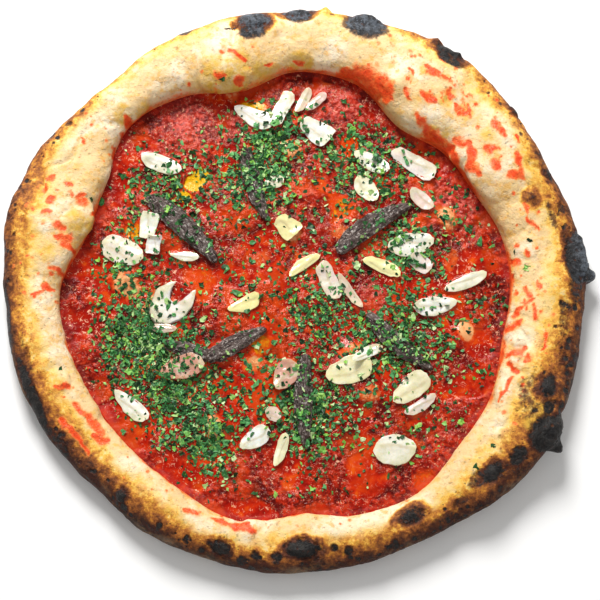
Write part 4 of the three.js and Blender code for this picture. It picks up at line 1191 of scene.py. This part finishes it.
def makeAnchovies():
    material = makeAnchovyMaterial()
    names = sorted(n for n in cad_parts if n.startswith("anchovy"))
    for k, name in enumerate(names):
        piece = smoothSolid(f"anchovyFillet_{k + 1}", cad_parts[name])
        points = meshPoints(piece.data)
        middle, along, across = mainAxes(points)
        delta = points - middle
        u, v = delta @ along, delta @ across
        lined = np.stack([u * 0.2, v, np.full(len(u), 9.0 * k)], -1)
        tip = 0.6 * smoothStep(0.72, 1, np.abs(u) / np.abs(u).max())
        points += np.outer(v * (strips["fuller"] + tip - 1), across)
        v = v * (strips["fuller"] + tip)
        ridge = valueNoise(lined, 1.1, 70 + k) * 0.3 + valueNoise(lined, 0.6, 90 + k) * 0.14
        top = smoothStep(0.35, 0.75, (points[:, 2] - points[:, 2].min()) / np.ptp(points[:, 2]))
        knobs = 0.35 * valueNoise(points, 2.2, 150 + k) + 0.45 * valueNoise(points, 7, 110 + k)
        points[:, 2] += (ridge + knobs) * top
        frayed = 0.7 * valueNoise(points, 3.2, 130 + k) + 0.3 * valueNoise(points, 1.4, 140 + k)
        points += np.outer(frayed * smoothStep(0.2, 0.8, np.abs(v) / np.abs(v).max()) * np.sign(v), across)
        setPoints(piece.data, points)
        low = smoothStep(0.45, 0.0, (points[:, 2] - points[:, 2].min()) / np.ptp(points[:, 2]))
        # ridge holds the fibre ridges' height, which the material paints lighter as a painted highlight
        addMarks(piece.data, {"along": u, "across": v + 13.0 * k, "low": low, "ridge": 2 * ridge + 0.4})
        dress(piece, material, "anchovy", name)
    print("anchovies laid:", len(names))


makeGarlic()
makeAnchovies()

# ---- parsley ----

parsley = {
    "leaves": {"count": 1500, "size": (3.4, 6.6), "power": 1.7, "rows": 2, "seed": 41},
    "bits": {"count": 6400, "size": (1.8, 4.2), "power": 1.3, "rows": 1, "seed": 42},
    "crumbs": {"count": 3000, "size": (0.8, 1.8), "power": 1.2, "rows": 1, "seed": 43},
    "drifts": [  # x, y, spread, share of the bits
        (-84, -26, 24, 0.10), (-66, -52, 26, 0.10), (-48, -80, 22, 0.05), (-70, 62, 26, 0.04),
        (-96, 20, 16, 0.02), (-22, 68, 20, 0.08), (38, 74, 24, 0.06), (6, -66, 24, 0.08),
        (54, -26, 26, 0.08), (60, 26, 18, 0.05), (14, -12, 20, 0.04), (-14, 92, 20, 0.04),
    ],
    "wide": {"radius": 114, "share": 0.26},  # the rest lies anywhere
    "clear": [(-60, 63, 8), (-24, 104, 7), (-62, 98, 16), (-58, 2, 12), (96, 14, 14), (98, -30, 12), (-16, -98, 16),
              (30, -104, 16), (-70, -96, 10), (22, 108, 10), (40, -2, 9), (-112, -20, 8)],  # x, y, radius
    "edge": 7,  # thinner this close to the sauce's edge
    "left": 0.25,  # share that lies in the clear spots all the same
    "thick": 0.16,
    "tilt": 40,
    "kept": {"garlic": 0.24, "anchovy": 0.35},  # share of the bits that stay on them
    "proud": 0.12,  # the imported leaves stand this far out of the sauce
    "group": 2.8,
    "onRim": [(123, 10), (125, 25), (117, 20), (92, -98), (101, -87), (-125, -45), (-113, 50), (-109, 52), (-42, 118)],
}


def surfaceTree():
    # what the leaves fall on, and the share of them that each face keeps
    corners, faces, kept = [], [], []
    for piece in [o for o in bpy.context.scene.objects if o.type == "MESH" and not o.hide_render]:
        if piece.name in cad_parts:
            continue
        offset = len(corners)
        points = meshPoints(piece.data)
        points[:, :2] -= rimCentre
        corners += points.tolist()
        faces += [[offset + k for k in p.vertices] for p in piece.data.polygons]
        shares = [share for word, share in parsley["kept"].items() if piece.name.startswith(word)]
        kept += [shares[0] if shares else 1] * len(piece.data.polygons)
    return BVHTree.FromPolygons(corners, faces), kept


def packedLeaves():
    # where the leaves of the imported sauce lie
    points = meshPoints(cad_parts["sauce"].data)
    points[:, :2] -= rimCentre
    groups = []
    for point in points[points[:, 2] > sauceHeight(points) + parsley["proud"]]:
        for group in groups:
            if np.hypot(*(group[0] - point)[:2]) < parsley["group"]:
                group.append(point)
                break
        else:
            groups.append([point])
    return [tuple(np.mean(group, axis=0)[:2]) for group in groups]


def scatterSpots(kind, random):
    spots = []
    wide = parsley["wide"]
    for x, y, spread, share in [*parsley["drifts"], (0, 0, 0, wide["share"])]:
        wanted = round(share * kind["count"])
        while wanted > 0:
            if spread == 0:
                px, py = polar(random.uniform(0, 360), wide["radius"] * math.sqrt(random.random()))
            else:
                px, py = random.normal(x, spread * 0.5), random.normal(y, spread * 0.5)
            at = math.degrees(math.atan2(py, px)) % 360
            inside = float(around(dough["inner"], at)) - math.hypot(px, py)
            if inside < 1.5 or random.random() > inside / parsley["edge"]:
                continue
            near = any(math.hypot(px - cx, py - cy) < radius for cx, cy, radius in parsley["clear"])
            if near and random.random() > parsley["left"]:
                continue
            spots.append((px, py))
            wanted -= 1
    return spots


def leafShape(size, rows, random):
    # an uneven scrap of leaf, cupped, round its own middle; the large ones are lobed
    corners = int(random.integers(4, 6)) if rows == 1 else 2 * int(random.integers(3, 5))
    turn = 2 * np.pi * (np.arange(corners) + random.uniform(-0.3, 0.3, corners)) / corners
    reach = size / 2 * random.uniform(0.6, 1.2, corners)
    if rows > 1:
        reach[::2] *= random.uniform(0.5, 0.9)
    narrow = random.uniform(0.4, 1.0)
    outline = np.stack([reach * np.cos(turn), narrow * reach * np.sin(turn), np.zeros(corners)], -1)
    outline[:, 2] = random.uniform(-0.16, 0.2, corners) * size * 0.7
    if rows > 1:
        middle = outline * random.uniform(0.45, 0.6)
        middle[:, 2] += random.uniform(-0.04, 0.1) * size
        layers = [outline, middle, np.zeros((1, 3))]
    else:
        layers = [outline, np.zeros((1, 3))]
    return layers


def leafFaces(layers):
    # top and underside split alike, joined round the outline
    corners = len(layers[0])
    top = np.concatenate(layers)
    bottom = top - [0, 0, parsley["thick"]]
    count = len(top)
    i = np.arange(corners)
    j = (i + 1) % corners
    upper = []
    for k in range(len(layers) - 2):
        low, high = k * corners, (k + 1) * corners
        upper += [np.stack([low + i, low + j, high + j], 1), np.stack([low + i, high + j, high + i], 1)]
    low = (len(layers) - 2) * corners
    upper.append(np.stack([low + i, low + j, np.full(corners, count - 1)], 1))
    upper = np.concatenate(upper)
    under = upper[:, ::-1] + count
    rim = np.concatenate(
        [np.stack([i, count + i, count + j], 1), np.stack([i, count + j, j], 1)]
    )
    return np.concatenate([top, bottom]), np.concatenate([upper, under, rim])


def makeParsley(name, kind, surfaces, material, spots=()):
    random = np.random.default_rng(kind["seed"])
    tree, kept = surfaces
    allPoints, allFaces, tones, start = [], [], [], 0
    for x, y in [*spots, *scatterSpots(kind, random)]:
        hit, normal, face, _ = tree.ray_cast(Vector((x, y, 60)), Vector((0, 0, -1)))
        if hit is None or random.random() > kept[face]:
            continue
        size = lerp(*kind["size"], random.random() ** kind["power"])
        points, faces = leafFaces(leafShape(size, kind["rows"], random))
        lean = np.radians(random.normal(0, parsley["tilt"] * 0.5, 2))
        spin = Matrix.Rotation(random.uniform(0, 2 * math.pi), 3, "Z")
        tip = Matrix.Rotation(lean[0], 3, "X") @ Matrix.Rotation(lean[1], 3, "Y")
        lie = Vector((0, 0, 1)).rotation_difference(normal.lerp(Vector((0, 0, 1)), 0.35)).to_matrix()
        turned = points @ np.array(lie @ tip @ spin).T
        turned += [hit.x, hit.y, hit.z + 0.12 + abs(random.normal(0, 0.22))]
        allPoints.append(turned)
        allFaces.append(faces + start)
        start += len(points)
        tones.append(np.full(len(points), random.random()))
    piece = makePiece(name, np.concatenate(allPoints), [np.concatenate(allFaces)], {"tone": np.concatenate(tones)})
    piece.data.polygons.foreach_set("use_smooth", np.zeros(len(piece.data.polygons), bool))
    dress(piece, material, "sauce")
    print(name, "scattered:", len(tones), "bits,", len(piece.data.polygons), "faces")


def makeParsleyMaterial():
    material, tree, shader = newMaterial("parsleyLeaf")
    tone = mark(tree, "tone")
    paint = rampNode(
        tree, tone, [(0.0, "17301c"), (0.22, "2b5630"), (0.48, "427e45"), (0.7, "62a468"), (0.86, "8cc24e"), (1.0, "cfe0ac")]
    )
    vein = noiseNode(tree, 1.1, 4, 0.6)
    paint = mixColour(tree, stepNode(tree, vein, 0.5, 0.75, (0, 0.45)), paint, colour("8cc07a"))
    paint = mixColour(tree, stepNode(tree, vein, 0.5, 0.3, (0, 0.5)), paint, colour("1c3316"))
    feed(tree, shader, Base_Color=paint, Normal=bumpNode(tree, vein, 0.3, 0.6))
    feed(tree, shader, Roughness=0.42, IOR=1.4)
    return material


surfaces = surfaceTree()
leafMaterial = makeParsleyMaterial()
makeParsley("parsleyLeaves", parsley["leaves"], surfaces, leafMaterial, packedLeaves() + parsley["onRim"])
makeParsley("parsleyBits", parsley["bits"], surfaces, leafMaterial)
makeParsley("parsleyCrumbs", parsley["crumbs"], surfaces, leafMaterial)

# ---- floor and light ----

studio = {
    "floor": "f4f3f1",
    "world": 0.36,
    "lamps": [  # name, place, size, power
        ("keyLamp", (-0.25, 1.1, 0.95), 0.6, 23),
        ("fillLamp", (0.5, -0.9, 1.2), 1.4, 2.5),
    ],
}


def makeStudio():
    mesh = bpy.data.meshes.new("floor")
    reach = 6
    mesh.from_pydata([(-reach, -reach, 0), (reach, -reach, 0), (reach, reach, 0), (-reach, reach, 0)], [], [(0, 1, 2, 3)])
    floor = bpy.data.objects.new("floor", mesh)
    floor.location.z = -0.0004
    bpy.context.scene.collection.objects.link(floor)
    material, tree, shader = newMaterial("paleFloor")
    shadeNoise = noiseNode(tree, 400, 2)
    paint = mixColour(tree, shadeNoise, colour(studio["floor"]), colour("fbfaf8"))
    feed(tree, shader, Base_Color=paint, Roughness=0.8)
    mesh.materials.append(material)
    for name, spot, size, power in studio["lamps"]:
        data = bpy.data.lights.new(name, "AREA")
        data.shape = "DISK"
        data.size = size
        data.energy = power
        lamp = bpy.data.objects.new(name, data)
        lamp.location = spot
        lamp.rotation_euler = Vector(spot).to_track_quat("Z", "Y").to_euler()
        bpy.context.scene.collection.objects.link(lamp)
    world = bpy.data.worlds.new("softWorld")
    bpy.context.scene.world = world
    world.use_nodes = True
    world.node_tree.nodes["Background"].inputs["Color"].default_value = (1, 1, 1, 1)
    world.node_tree.nodes["Background"].inputs["Strength"].default_value = studio["world"]
    bpy.context.scene.view_settings.view_transform = "Standard"
    bpy.context.scene.view_settings.look = "Medium High Contrast"


makeStudio()
print("studio lit")
